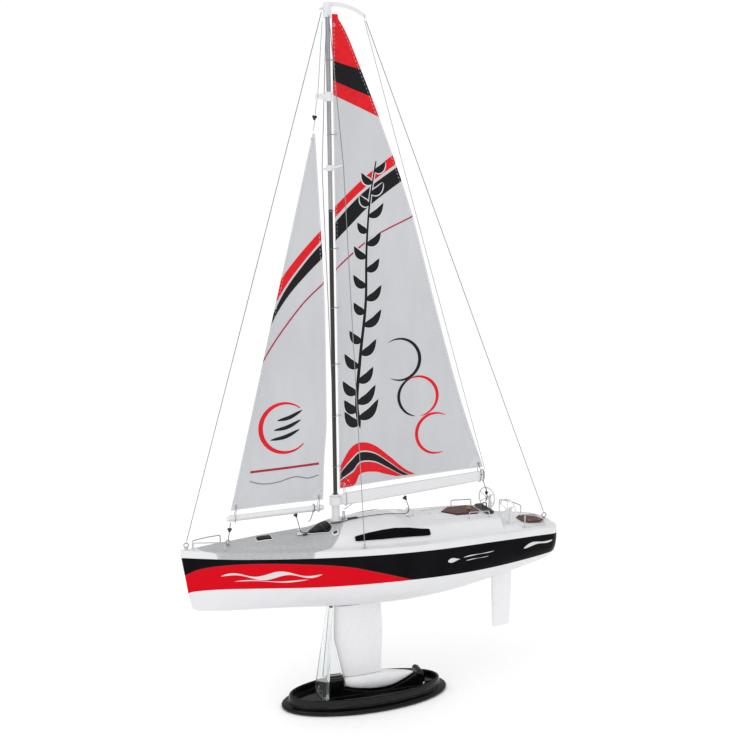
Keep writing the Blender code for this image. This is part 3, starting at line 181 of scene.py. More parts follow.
def smooth_table(v, table):
    """Cubic through the points of a table, with slopes that never overshoot."""
    xs = np.array([p[0] for p in table], float)
    ys = np.array([p[1] for p in table], float)
    v = min(max(v, xs[0]), xs[-1])
    h = np.diff(xs)
    d = np.diff(ys) / h
    m = np.zeros(len(xs))
    m[0], m[-1] = d[0], d[-1]
    for i in range(1, len(xs) - 1):
        if d[i - 1] * d[i] > 0:
            w1, w2 = 2 * h[i] + h[i - 1], h[i] + 2 * h[i - 1]
            m[i] = (w1 + w2) / (w1 / d[i - 1] + w2 / d[i])
    i = min(int(np.searchsorted(xs, v, side="right")) - 1, len(h) - 1)
    s = (v - xs[i]) / h[i]
    return float(
        (1 + 2 * s) * (1 - s) ** 2 * ys[i]
        + s * (1 - s) ** 2 * h[i] * m[i]
        + s * s * (3 - 2 * s) * ys[i + 1]
        + s * s * (s - 1) * h[i] * m[i + 1]
    )


def half_beam(y):
    t = (y - BOW_Y) / (STERN_Y - BOW_Y)
    t = min(max(t, 0.0), 1.0)
    if t < 0.6:
        b = HALF_BEAM * math.sin(math.pi / 2 * t / 0.6) ** 0.85
    else:
        b = HALF_BEAM - (HALF_BEAM - TRANSOM_HALF) * ((t - 0.6) / 0.4) ** 1.8
    b = math.sqrt(b * b + 1.5 * 1.5)
    over = y - (STERN_Y - STERN_CORNER_R)
    if over > 0:
        over = min(over, STERN_CORNER_R)
        b -= STERN_CORNER_R * (1 - math.sqrt(max(0.0, 1 - (over / STERN_CORNER_R) ** 2)))
    return b


def sheer(y):
    return smooth_table(y, [(-130, 115.4), (-90, 114.7), (0, 114.8), (60, 115.0), (100, 114.0), (130, 112.2)])


def keel_line(y):
    return smooth_table(
        y,
        [(-124, 76.5), (-119, 74.6), (-104, 72.8), (-64, 70.2), (-36, 68.5), (3, 67.7), (17, 68.1), (49, 71.0), (83, 76.8), (100, 80.0), (122, 85.0), (130, 88.0)],
    )


def hull_ring(t, inset=0.0, lift=0.0):
    """Section ring of the hull at t from stem (0) to transom (1): port top, down round the bottom, starboard top."""
    fullness = smooth_table(t, [(0.0, 0.0), (0.12, 0.25), (0.35, 0.8), (0.55, 1.0), (1.0, 0.85)])
    n = 1.15 + 1.75 * fullness
    m = 1.05 + 0.75 * fullness
    y_top = -129.5 + t * (STERN_Y + 129.5)
    zt = sheer(y_top) - RIM_DEPTH
    b = half_beam(y_top)
    stem_low = -123.2
    y_keel = stem_low + t * (STERN_Y - stem_low)
    zk = keel_line(y_keel)
    if inset:
        zk += inset * min(max(1.15, 0.9 * (zt - zk) / b), 5.0)
        b -= inset
    side = []
    qs = QS
    for q in qs:
        z = zt + (zk - zt) * q
        x = b * max(0.0, 1 - q**n) ** (1 / m)
        ys = np.interp(z, [76.0, 87.0, 115.0], [-123.0, -125.6, -130.1])
        y = ys + t * (STERN_Y - ys)
        side.append((x, y, z + (lift if q == 0 else 0)))
    ring = [p for p in side] + [(-p[0], p[1], p[2]) for p in reversed(side[:-1])]
    return ring


def deck_side(y, drop=0.0, inset=0.0):
    """Half section of the deck from the centreline out to the bottom of the rim."""
    b = half_beam(y) - inset
    zs = sheer(y) - drop
    H = lerp_table(y, TRUNK_H)
    W = min(lerp_table(y, TRUNK_W) - 0.7 * inset, b - 2.6)
    W = max(W, 0.45 * b)
    raised = H > 2.0
    pts = []
    roof = 0.78 if raised else 0.8
    top = zs + H
    crown = lerp_table(y, CROWN) if raised else 0.35
    pts = [(0, top), (0.40 * W * roof, top - 0.2 * crown * H), (0.78 * W * roof, top - 0.65 * crown * H), (W * roof, top - 1.15 * crown * H)]
    low = zs + 0.6
    z4 = top - 1.15 * crown * H
    pts += [(W * (roof + 0.42 * (1 - roof)), z4 + 0.36 * (low - z4)), (W * (roof + 0.76 * (1 - roof)), z4 + 0.74 * (low - z4)), (W, low)]
    side = b - W
    pts += [(W + 0.5 * side, zs + 0.45), (W + 0.86 * side, zs + 0.2)]
    if drop == 0.0:
        pts += [(b - 0.25 * min(1, side), zs + 0.1), (b + 0.25, zs - 0.5), (b + 0.45, zs - RIM_DEPTH + GAP)]
    else:
        pts += [(b - 0.2, zs + 0.1), (b, zs - 0.8), (b, zs - RIM_DEPTH - 3)]
    return pts


def deck_ring(y, drop=0.0, inset=0.0):
    half = deck_side(y, drop, inset)
    pts = [(x, y, z) for x, z in half]
    return pts[::-1] + [(-x, yy, z) for x, yy, z in pts[1:]]


def deck_z(x, y):
    pts = deck_side(y)
    xs = [p[0] for p in pts[:10]]
    zs = [p[1] for p in pts[:10]]
    return float(np.interp(abs(x), xs, zs))


def pad_z(x0, x1, y0, y1):
    return max(deck_z(x, y) for x in np.linspace(x0, x1, 7) for y in np.linspace(y0, y1, 7))


def loft(rings):
    """Closed rings of equal length, capped at both ends."""
    n = len(rings[0])
    verts = [p for ring in rings for p in ring]
    faces = []
    for i in range(len(rings) - 1):
        for j in range(n):
            a, b = i * n + j, i * n + (j + 1) % n
            faces.append((a, b, b + n, a + n))
    faces.append(tuple(range(n))[::-1])
    faces.append(tuple((len(rings) - 1) * n + j for j in range(n)))
    return verts, faces


def frame_of(d):
    d = d / np.linalg.norm(d)
    ref = np.array([0.0, 0.0, 1.0]) if abs(d[2]) < 0.9 else np.array([0.0, 1.0, 0.0])
    u = np.cross(ref, d)
    u /= np.linalg.norm(u)
    return u, np.cross(d, u)


def cyl_data(a, b, r0, r1=None, n=16):
    a, b = np.array(a, float), np.array(b, float)
    r1 = r0 if r1 is None else r1
    u, v = frame_of(b - a)
    ang = [2 * math.pi * k / n for k in range(n)]
    return loft([[tuple(p + r * (math.cos(t) * u + math.sin(t) * v)) for t in ang] for p, r in ((a, r0), (b, r1))])


def tube_data(path, r, n=6, closed=False):
    """A round tube along a polyline."""
    pts = [np.array(p, float) for p in path]
    m = len(pts)
    tang = []
    for i in range(m):
        a = pts[(i - 1) % m] if (closed or i > 0) else pts[0]
        b = pts[(i + 1) % m] if (closed or i < m - 1) else pts[-1]
        t = b - a
        tang.append(t / np.linalg.norm(t))
    u, _ = frame_of(tang[0])
    rings = []
    for i in range(m):
        u = u - tang[i] * float(u @ tang[i])
        u /= np.linalg.norm(u)
        v = np.cross(tang[i], u)
        rings.append([tuple(pts[i] + r * (math.cos(2 * math.pi * k / n) * u + math.sin(2 * math.pi * k / n) * v)) for k in range(n)])
    if not closed:
        return loft(rings)
    verts = [p for ring in rings for p in ring]
    faces = []
    for i in range(m):
        for j in range(n):
            k = (i + 1) % m
            faces.append((i * n + j, i * n + (j + 1) % n, k * n + (j + 1) % n, k * n + j))
    return verts, faces


def rounded(path, r, steps=4):
    """The polyline with its corners rounded by radius r."""
    pts = [np.array(p, float) for p in path]
    out = [pts[0]]
    for i in range(1, len(pts) - 1):
        a, p, b = pts[i - 1], pts[i], pts[i + 1]
        da, db = a - p, b - p
        ra = min(r, 0.45 * np.linalg.norm(da))
        rb = min(r, 0.45 * np.linalg.norm(db))
        s, e = p + da / np.linalg.norm(da) * ra, p + db / np.linalg.norm(db) * rb
        for k in range(steps + 1):
            t = k / steps
            out.append((1 - t) ** 2 * s + 2 * t * (1 - t) * p + t * t * e)
    out.append(pts[-1])
    return out


def circle_path(c, r, axis, n):
    c = np.array(c, float)
    u, v = frame_of(np.array(axis, float))
    return [c + r * (math.cos(2 * math.pi * k / n) * u + math.sin(2 * math.pi * k / n) * v) for k in range(n)]


def mast_point(z):
    s = (z - MAST_FOOT[2]) / (MAST_TOP[2] - MAST_FOOT[2])
    return MAST_FOOT + s * (MAST_TOP - MAST_FOOT)


def smooth_path(points, count):
    """Catmull-Rom curve through the points, sampled evenly in parameter."""
    pts = [np.array(p, float) for p in points]
    pts = [2 * pts[0] - pts[1]] + pts + [2 * pts[-1] - pts[-2]]
    out = []
    for k in range(count):
        u = k / (count - 1) * (len(pts) - 3)
        i = min(int(u), len(pts) - 4)
        t = u - i
        p0, p1, p2, p3 = pts[i : i + 4]
        out.append(0.5 * (2 * p1 + (p2 - p0) * t + (2 * p0 - 5 * p1 + 4 * p2 - p3) * t * t + (3 * p1 - 3 * p2 + p3 - p0) * t**3))
    return out


def main_luff(v):
    z = MAIN_TACK[1] + (MAIN_HEAD[1] - MAIN_TACK[1]) * v
    return (mast_point(z)[1] + 2.9, z)


def main_leech(v):
    return (smooth_table(v, [(a, b) for a, b, _ in LEECH]), smooth_table(v, [(a, c) for a, _, c in LEECH]))


def jib_luff(v):
    return (JIB_TACK[0] + (JIB_HEAD[0] - JIB_TACK[0]) * v, JIB_TACK[1] + (JIB_HEAD[1] - JIB_TACK[1]) * v)


def jib_leech(v):
    return (smooth_table(v, [(a, b) for a, b, _ in JLEECH]), smooth_table(v, [(a, c) for a, _, c in JLEECH]))


def bulb_ring(y):
    lo, hi = smooth_table(y, BULB_LOW), smooth_table(y, BULB_TOP)
    w = BULB_HALF * smooth_table(y, BULB_W)
    pts = []
    for k in range(14):
        a = 2 * math.pi * k / 14 + math.pi / 14
        c, s = math.cos(a), math.sin(a)
        x = w * math.copysign(abs(c) ** 0.85, c)
        f = math.copysign(abs(s) ** 0.85, s)
        if f > 0.72:
            f = 1.0
        pts.append((x, y, (lo + hi) / 2 + (hi - lo) / 2 * f))
    return pts


def foil_ring(y0, y1, half, z):
    pts = []
    for s, w in ((0.0, 0.16), (0.05, 0.62), (0.14, 0.9), (0.3, 1.0), (0.55, 0.86), (0.8, 0.5), (1.0, 0.12)):
        pts.append((half * w, y0 + (y1 - y0) * s, z))
    return pts + [(-x, y, zz) for x, y, zz in reversed(pts)]


# ------------------------------------------------------------------ materials


class Mat:
    """A node material in the making; every texture reads the piece's own coordinates in metres."""

    def __init__(self, name):
        self.mat = bpy.data.materials.new(name)
        self.mat.use_nodes = True
        self.nt = self.mat.node_tree
        self.bsdf = self.nt.nodes["Principled BSDF"]
        self.coord = self.nt.nodes.new("ShaderNodeTexCoord").outputs["Object"]
        self.sep = None

    def link(self, a, b):
        self.nt.links.new(a, b)

    def put(self, socket, value):
        if isinstance(value, (int, float)):
            socket.default_value = value
        elif isinstance(value, tuple):
            socket.default_value = (*value, 1.0) if len(value) == 3 and socket.type == "RGBA" else value
        else:
            self.link(value, socket)

    def mapped(self, stretch):
        if stretch == (1, 1, 1):
            return self.coord
        m = self.nt.nodes.new("ShaderNodeMapping")
        m.inputs["Scale"].default_value = stretch
        self.link(self.coord, m.inputs["Vector"])
        return m.outputs["Vector"]

    def noise(self, scale, detail=3.0, stretch=(1, 1, 1), rough=0.5, distort=0.0):
        n = self.nt.nodes.new("ShaderNodeTexNoise")
        n.inputs["Scale"].default_value = scale
        n.inputs["Detail"].default_value = detail
        n.inputs["Roughness"].default_value = rough
        n.inputs["Distortion"].default_value = distort
        self.link(self.mapped(stretch), n.inputs["Vector"])
        return n.outputs["Fac"]

    def wave(self, scale, axis="X", distort=0.0, profile="SIN", detail=2.0):
        w = self.nt.nodes.new("ShaderNodeTexWave")
        w.bands_direction = axis
        w.wave_profile = profile
        w.inputs["Scale"].default_value = scale
        w.inputs["Distortion"].default_value = distort
        w.inputs["Detail"].default_value = detail
        self.link(self.coord, w.inputs["Vector"])
        return w.outputs["Fac"]

    def math(self, op, a, b=0.0, c=None, clamp=False):
        m = self.nt.nodes.new("ShaderNodeMath")
        m.operation = op
        m.use_clamp = clamp
        self.put(m.inputs[0], a)
        self.put(m.inputs[1], b)
        if c is not None:
            self.put(m.inputs[2], c)
        return m.outputs[0]

    def ramp(self, fac, low, high, a=0.0, b=1.0):
        m = self.nt.nodes.new("ShaderNodeMapRange")
        m.clamp = True
        for i, v in enumerate((low, high, a, b), 1):
            m.inputs[i].default_value = v
        self.link(fac, m.inputs[0])
        return m.outputs[0]

    def mix(self, fac, a, b):
        m = self.nt.nodes.new("ShaderNodeMix")
        m.data_type = "RGBA"
        self.put(m.inputs[0], fac)
        self.put(m.inputs[6], a)
        self.put(m.inputs[7], b)
        return m.outputs[2]

    def axis(self, k):
        if self.sep is None:
            self.sep = self.nt.nodes.new("ShaderNodeSeparateXYZ")
            self.link(self.coord, self.sep.inputs[0])
        return self.sep.outputs[k]

    def curve(self, value, points):
        """A 1-D function through (value, result) points, all in millimetres."""
        xs = [p[0] for p in points]
        ys = [p[1] for p in points]
        x0, x1, y0, y1 = min(xs), max(xs), min(ys) - 1, max(ys) + 1
        u = self.ramp(value, x0 * MM, x1 * MM)
        n = self.nt.nodes.new("ShaderNodeFloatCurve")
        c = n.mapping.curves[0]
        pts = [((x - x0) / (x1 - x0), (y - y0) / (y1 - y0)) for x, y in points]
        c.points[0].location = pts[0]
        c.points[1].location = pts[-1]
        for p in pts[1:-1]:
            c.points.new(*p)
        n.mapping.update()
        self.link(u, n.inputs["Value"])
        return self.ramp(n.outputs["Value"], 0.0, 1.0, y0 * MM, y1 * MM)

    def below(self, z, level, soft=0.00008):
        """1 where z is under level."""
        d = self.math("SUBTRACT", level, z)
        return self.ramp(d, -soft, soft)

    def bump(self, height, strength, distance=0.0002, under=None):
        b = self.nt.nodes.new("ShaderNodeBump")
        b.inputs["Strength"].default_value = strength
        b.inputs["Distance"].default_value = distance
        self.link(height, b.inputs["Height"])
        if under is not None:
            self.link(under, b.inputs["Normal"])
        return b.outputs["Normal"]

    def worn(self, amount):
        """1 on the outer edges of a piece, broken up by noise."""
        g = self.nt.nodes.new("ShaderNodeNewGeometry")
        e = self.ramp(g.outputs["Pointiness"], 0.53, 0.62)
        n = self.ramp(self.noise(900.0, 4.0), 0.42, 0.62)
        return self.math("MULTIPLY", self.math("MULTIPLY", e, n), amount)

    def done(self, colour, rough, metal=0.0, coat=0.0, normal=None, **extra):
        self.put(self.bsdf.inputs["Base Color"], colour)
        self.put(self.bsdf.inputs["Roughness"], rough)
        self.put(self.bsdf.inputs["Metallic"], metal)
        if coat:
            self.bsdf.inputs["Coat Weight"].default_value = coat
            self.bsdf.inputs["Coat Roughness"].default_value = 0.06
        if normal is not None:
            self.link(normal, self.bsdf.inputs["Normal"])
        for k, v in extra.items():
            self.put(self.bsdf.inputs[k.replace("_", " ")], v)
        return self.mat


def scaled(c, k):
    return tuple(min(1.0, v * k) for v in c)


def finish(name, colour, rough=0.3, metal=0.0, coat=0.0, vary=0.04, scale=160.0, fine=1400.0, bump=0.06, stretch=(1, 1, 1), wear=0.0, wear_colour=(0.7, 0.7, 0.7), rough_spread=0.08, **extra):
    m = Mat(name)
    tone = m.noise(scale, 4.0, stretch)
    col = m.mix(m.ramp(tone, 0.3, 0.7), scaled(colour, 1 - vary), scaled(colour, 1 + vary))
    if wear:
        col = m.mix(m.worn(wear), col, wear_colour)
    rg = m.ramp(m.noise(scale * 2.3, 5.0, stretch, 0.6), 0.3, 0.7, max(0.02, rough - rough_spread), rough + rough_spread)
    nrm = m.bump(m.noise(fine, 4.0, stretch, 0.6), bump, 0.0001)
    return m.done(col, rg, metal, coat, nrm, **extra)


WHITE = finish("white_gloss_plastic", (0.72, 0.725, 0.74), 0.22, coat=0.2, vary=0.012, bump=0.03, wear=0.25, wear_colour=(0.55, 0.55, 0.55), Specular_IOR_Level=0.4)
WHITE_SATIN = finish("white_satin_plastic", (0.72, 0.725, 0.74), 0.34, coat=0.05, vary=0.015, bump=0.06, Specular_IOR_Level=0.4)
# A lighter copy of the white satin plastic for the keel fin and rudder: painted light that lifts them where less light
# reaches them than the hull.
FIN_WHITE_PAINTED_LIGHT = finish("fin_white_plastic_painted_light", (0.82, 0.82, 0.84), 0.30, coat=0.05, vary=0.005, bump=0.03, Specular_IOR_Level=0.3)
BLACK = finish("black_gloss_plastic", (0.003, 0.003, 0.004), 0.10, coat=0.35, vary=0.3, bump=0.02, wear=0.4, wear_colour=(0.06, 0.06, 0.06), rough_spread=0.04, Specular_IOR_Level=0.12)
BLACK_SATIN = finish("black_satin_plastic", (0.012, 0.012, 0.013), 0.38, vary=0.25, bump=0.15, wear=0.5, wear_colour=(0.12, 0.12, 0.12))
GLASS_BLACK = finish("smoked_window", (0.003, 0.003, 0.004), 0.10, coat=0.0, vary=0.3, bump=0.01, rough_spread=0.02, Specular_IOR_Level=0.06)
STEEL = finish("bent_steel_wire", (0.62, 0.63, 0.65), 0.2, 1.0, vary=0.12, scale=700.0, bump=0.12, rough_spread=0.1)
STAY_WIRE = finish("stay_wire", (0.30, 0.30, 0.31), 0.34, 0.7, vary=0.2, scale=1500.0, bump=0.4, fine=5000.0)
BRASS = finish("brass", (0.62, 0.45, 0.18), 0.28, 1.0, vary=0.1, bump=0.1)
BLUE = finish("servo_case", (0.02, 0.05, 0.22), 0.38, vary=0.1, bump=0.12)
CORD_BLACK = finish("braided_black_cord", (0.014, 0.014, 0.015), 0.72, vary=0.4, scale=2600.0, fine=5200.0, bump=0.8)
CORD_GREY = finish("braided_grey_cord", (0.30, 0.30, 0.31), 0.7, vary=0.25, scale=2600.0, fine=5200.0, bump=0.8)
THREAD = finish("stitching_thread", (0.50, 0.50, 0.52), 0.7, vary=0.2, scale=3000.0, fine=6000.0, bump=0.5)
# Near-black for the mast slot, the port vent and the sheet inlet: painted shade standing in for the dark inside of each
# opening.
SLOT_PAINTED_SHADE = finish("painted_shade_in_recess", (0.02, 0.02, 0.022), 0.55, vary=0.3, bump=0.2)


def hull_material():
    """Glossy topsides: a dark band with a red sweep towards the bow, white below the band."""
    m = Mat("painted_hull")
    y, z = m.axis(1), m.axis(2)
    low = m.curve(y, [(-126, 86.6), (-110, 89.1), (-80, 89.8), (-45.6, 90.2), (12.4, 91.5), (63.9, 91.8), (100, 93.0), (122.6, 94.2), (131, 94.8)])
    sweep = m.curve(y, [(-131, 98.6), (-127.5, 99.5), (-118.3, 103.6), (-103.1, 106.4), (-84.6, 107.5), (-54.4, 106.6), (-31.6, 104.3), (-10.3, 99.3), (11.8, 92.4), (30, 86.0)])
    flake = m.noise(2600.0, 2.0)
    tone = m.noise(60.0, 3.0)
    black = m.mix(m.ramp(tone, 0.3, 0.7), (0.003, 0.003, 0.004), (0.006, 0.006, 0.007))
    red = m.mix(m.ramp(flake, 0.3, 0.7), (0.60, 0.002, 0.009), (0.66, 0.004, 0.013))
    white = m.mix(m.ramp(tone, 0.3, 0.7), (0.73, 0.735, 0.75), (0.76, 0.765, 0.775))
    # a fine silver edge where the red meets the black
    edge = m.math("MULTIPLY", m.below(z, m.math("ADD", sweep, 0.00045)), m.math("SUBTRACT", 1.0, m.below(z, sweep)))
    band = m.mix(m.below(z, sweep), black, red)
    band = m.mix(m.math("MULTIPLY", edge, 0.35), band, (0.55, 0.08, 0.09))
    def stroke(y0, y1, zc, slope, amp, wave, thick):
        """A plain tapered wavy brush line."""
        run = m.math("SUBTRACT", y, y0 * MM)
        s = m.math("MINIMUM", m.math("MAXIMUM", m.math("DIVIDE", run, (y1 - y0) * MM), 0.0), 1.0)
        env = m.math("POWER", m.math("MAXIMUM", m.math("SINE", m.math("MULTIPLY", s, math.pi)), 0.0), 0.6)
        mid = m.math("MULTIPLY_ADD", run, slope, zc * MM)
        mid = m.math("MULTIPLY_ADD", m.math("SINE", m.math("MULTIPLY", run, 2 * math.pi / (wave * MM))), amp * MM, mid)
        swell_ = m.math("MULTIPLY_ADD", m.math("COSINE", m.math("MULTIPLY", run, 2 * math.pi / (wave * MM))), 0.35, 0.65)
        half = m.math("MULTIPLY_ADD", m.math("MULTIPLY", env, swell_), thick / 2 * MM, -0.00012)
        return m.below(m.math("ABSOLUTE", m.math("SUBTRACT", z, mid)), half)

    paint = None
    for args in ((-106.0, -44.0, 99.0, 0.012, 1.5, 31.0, 4.6), (-98.0, -52.0, 95.2, 0.012, 0.7, 40.0, 1.9), (50.0, 74.0, 103.2, 0.06, 0.25, 26.0, 1.7), (52.0, 70.0, 100.6, 0.06, 0.2, 20.0, 1.3), (39.0, 48.0, 102.0, 0.05, 0.1, 18.0, 4.4), (98.0, 123.0, 102.2, 0.12, 1.2, 30.0, 4.8)):
        one = stroke(*args)
        paint = one if paint is None else m.math("MAXIMUM", paint, one)
    band = m.mix(paint, band, (0.66, 0.665, 0.67))
    col = m.mix(m.below(z, low), band, white)
    rg = m.ramp(m.noise(220.0, 5.0), 0.3, 0.7, 0.12, 0.22)
    nrm = m.bump(m.noise(1100.0, 3.0), 0.03, 0.0001)
    return m.done(col, rg, 0.0, 0.0, nrm, Specular_IOR_Level=0.035)


def deck_material():
    """White gelcoat with a pale grey non-slip foredeck."""
    m = Mat("deck_gelcoat")
    x, y = m.axis(0), m.axis(1)
    ax = m.math("ABSOLUTE", x)
    half = m.curve(y, [(-119.5, 0.3), (-116, 4.6), (-108, 10.2), (-98, 15.6), (-84, 21.3), (-70, 25.4), (-56, 28.2), (-44, 26.5), (-34, 22.0), (-27, 12.0), (-22, 0.2)])
    span = m.math("MULTIPLY", m.ramp(y, -0.1200, -0.1192), m.ramp(y, -0.0222, -0.0214, 1.0, 0.0))
    pad = m.math("MULTIPLY", m.below(ax, half, 0.00012), span)
    rim = m.math("MULTIPLY", m.math("SUBTRACT", m.below(ax, m.math("ADD", half, 0.00035), 0.0001), m.below(ax, half, 0.0001)), span)
    grit = m.noise(1900.0, 2.0)
    tone = m.noise(90.0, 4.0)
    white = m.mix(m.ramp(tone, 0.3, 0.7), (0.70, 0.705, 0.72), (0.73, 0.735, 0.75))
    grey = m.mix(m.ramp(grit, 0.38, 0.62), (0.36, 0.365, 0.375), (0.50, 0.505, 0.515))
    col = m.mix(pad, white, grey)
    col = m.mix(m.math("MULTIPLY", rim, 0.7, clamp=True), col, (0.36, 0.37, 0.38))
    rg = m.math("ADD", m.ramp(m.noise(300.0, 4.0), 0.3, 0.7, 0.14, 0.24), m.math("MULTIPLY", pad, 0.38))
    fine = m.bump(m.noise(900.0, 3.0), 0.03, 0.0001)
    tread = m.math("MULTIPLY", grit, pad)
    return m.done(col, rg, 0.0, 0.15, m.bump(tread, 0.7, 0.00025, fine), Specular_IOR_Level=0.35)


def sail_material(name, tint=1.0, gloss=0.42):
    """Light polyester film cloth: a fine woven grid, slight clouding and a soft sheen."""
    m = Mat(name)
    warp = m.wave(620.0, "Y", 0.6)
    weft = m.wave(620.0, "Z", 0.6)
    weave = m.math("MULTIPLY", warp, weft)
    cloud = m.noise(24.0, 5.0, (1, 1, 0.45))
    streak = m.noise(160.0, 3.0, (1, 1.0, 0.12))
    base = m.mix(m.ramp(cloud, 0.3, 0.7), scaled((0.50, 0.51, 0.535), tint), scaled((0.57, 0.58, 0.605), tint))
    base = m.mix(m.math("MULTIPLY", m.ramp(streak, 0.45, 0.75), 0.22), base, scaled((0.45, 0.46, 0.48), tint))
    base = m.mix(m.math("MULTIPLY", weave, 0.16), base, scaled((0.42, 0.43, 0.45), tint))
    crease = m.bump(m.noise(75.0, 4.0, (1, 1.0, 0.35), 0.55, 0.4), 0.30, 0.0012)
    nrm = m.bump(weave, 0.28, 0.00012, crease)
    return m.done(base, m.ramp(cloud, 0.3, 0.7, gloss - 0.06, gloss + 0.1), 0.0, 0.0, nrm, Sheen_Weight=0.25, Sheen_Roughness=0.4)


def print_material(name, colour):
    """Screen-printed ink on the cloth, with the weave showing through."""
    m = Mat(name)
    weave = m.math("MULTIPLY", m.wave(620.0, "Y", 0.6), m.wave(620.0, "Z", 0.6))
    tone = m.noise(260.0, 4.0)
    col = m.mix(m.ramp(tone, 0.3, 0.7), scaled(colour, 0.86), scaled(colour, 1.12))
    col = m.mix(m.math("MULTIPLY", weave, 0.12), col, tuple(v * 1.25 + 0.008 for v in colour))
    nrm = m.bump(weave, 0.25, 0.00012, m.bump(m.noise(75.0, 4.0, (1, 1.0, 0.35), 0.55, 0.4), 0.30, 0.0012))
    return m.done(col, m.ramp(tone, 0.3, 0.7, 0.36, 0.5), 0.0, 0.0, nrm, Specular_IOR_Level=0.25)


def teak_material():
    """Dark red-brown planks with black caulking, grain running fore and aft."""
    m = Mat("teak_planks")
    x = m.axis(0)
    seam = m.math("PINGPONG", m.math("ADD", x, 0.5), 0.0011)
    line = m.ramp(seam, 0.00010, 0.00018, 1.0, 0.0)
    grain = m.noise(900.0, 5.0, (1, 0.07, 1), 0.65, 0.6)
    knots = m.noise(210.0, 3.0, (1, 0.2, 1))
    wood = m.mix(m.ramp(grain, 0.32, 0.68), (0.0527, 0.0090, 0.0045), (0.1426, 0.0293, 0.0135))
    wood = m.mix(m.math("MULTIPLY", m.ramp(knots, 0.5, 0.75), 0.5), wood, (0.0372, 0.0067, 0.0036))
    col = m.mix(line, wood, (0.0093, 0.0036, 0.0027))
    height = m.math("SUBTRACT", m.math("MULTIPLY", grain, 0.4), line)
    return m.done(col, m.ramp(grain, 0.3, 0.7, 0.35, 0.55), 0.0, 0.15, m.bump(height, 0.5, 0.0002))


def mast_material():
    """Anodised tube: black up to the sleeve, bare silver above it."""
    m = Mat("mast_tube")
    z = m.axis(2)
    drawn = m.noise(2200.0, 4.0, (1, 1, 0.02))
    dark = m.mix(m.ramp(drawn, 0.3, 0.7), (0.008, 0.008, 0.009), (0.020, 0.020, 0.022))
    silver = m.mix(m.ramp(drawn, 0.3, 0.7), (0.42, 0.43, 0.45), (0.56, 0.57, 0.59))
    up = m.ramp(z, 0.3308, 0.3312)
    return m.done(m.mix(up, dark, silver), m.ramp(drawn, 0.3, 0.7, 0.24, 0.38), m.math("MULTIPLY", up, 0.85), 0.1, m.bump(drawn, 0.12, 0.0001))


def clear_material():
    m = Mat("clear_acrylic")
    haze = m.noise(120.0, 4.0)
    scratch = m.noise(1800.0, 3.0, (1, 0.1, 0.03))
    col = m.mix(m.ramp(haze, 0.3, 0.7), (0.86, 0.90, 0.905), (0.91, 0.94, 0.945))
    return m.done(col, m.ramp(haze, 0.3, 0.7, 0.015, 0.06), 0.0, 0.0, m.bump(scratch, 0.02, 0.0001), Transmission_Weight=0.96, IOR=1.42)


HULL = hull_material()
DECK = deck_material()
SAIL = sail_material("sail_film_cloth")
SAIL_PATCH = sail_material("sail_patch_cloth", 1.10, 0.36)
INK_RED = print_material("red_ink", (0.66, 0.003, 0.010))
INK_DARK_RED = print_material("dark_red_ink", (0.36, 0.016, 0.035))
INK_BLACK = print_material("black_ink", (0.004, 0.004, 0.006))
INK_WHITE = print_material("white_ink", (0.78, 0.78, 0.79))
INK_GREY = print_material("grey_ink", (0.20, 0.21, 0.23))
TEAK = teak_material()
MAST = mast_material()
CLEAR = clear_material()

# -------------------------------------------------------------- piece helpers


def body_of(node):
    holder = frame["nodes"][node].parent
    for name, empty in frame["bodies"].items():
        if empty == holder:
            return name
    return "boat"


def piece(name, verts, faces, mats, body=None, smooth=55.0, bevel=0.0, segments=2):
    """A mesh piece in millimetres, welded, with its normals outward and its hard edges kept hard."""
    mesh = bpy.data.meshes.new(name)
    mesh.from_pydata([tuple(float(c) * MM for c in v) for v in verts], [], [tuple(int(i) for i in f) for f in faces])
    bm = bmesh.new()
    bm.from_mesh(mesh)
    bmesh.ops.remove_doubles(bm, verts=bm.verts, dist=1e-7)
    tidy(bm, smooth)
    bm.to_mesh(mesh)
    bm.free()
    obj = bpy.data.objects.new(name, mesh)
    bpy.context.scene.collection.objects.link(obj)
    for mat in mats if isinstance(mats, (list, tuple)) else [mats]:
        mesh.materials.append(mat)
    if bevel:
        soften(obj, bevel, segments)
    if body:
        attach(obj, body)
    return obj


def tidy(bm, angle):
    bmesh.ops.recalc_face_normals(bm, faces=bm.faces)
    for f in bm.faces:
        f.smooth = True
    for e in bm.edges:
        if len(e.link_faces) == 2:
            e.smooth = e.calc_face_angle(0.0) < math.radians(angle)


def soften(obj, width, segments=2, angle=40.0):
    b = obj.modifiers.new("rounded_edges", "BEVEL")
    b.width = width * MM
    b.segments = segments
    b.limit_method = "ANGLE"
    b.angle_limit = math.radians(angle)
    b.use_clamp_overlap = True
    b.harden_normals = False
    w = obj.modifiers.new("normals", "WEIGHTED_NORMAL")
    w.keep_sharp = True


def refined(node, mats, bevel=0.12, angle=40.0, name=None):
    """A rounded, smooth-shaded stand-in for a CAD node, in its place."""
    source = frame["nodes"][node]
    mesh = bpy.data.meshes.new(node + "_fine")
    bm = bmesh.new()
    bm.from_mesh(source.data)
    bmesh.ops.remove_doubles(bm, verts=bm.verts, dist=2e-6)
    bmesh.ops.dissolve_limit(bm, angle_limit=math.radians(0.8), verts=bm.verts, edges=bm.edges)
    tidy(bm, angle)
    bm.to_mesh(mesh)
    bm.free()
    obj = bpy.data.objects.new(name or node + "_fine", mesh)
    bpy.context.scene.collection.objects.link(obj)
    for mat in mats if isinstance(mats, (list, tuple)) else [mats]:
        mesh.materials.append(mat)
    if bevel:
        soften(obj, bevel, 2, angle)
    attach(obj, body_of(node))
    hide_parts(node)
    return obj


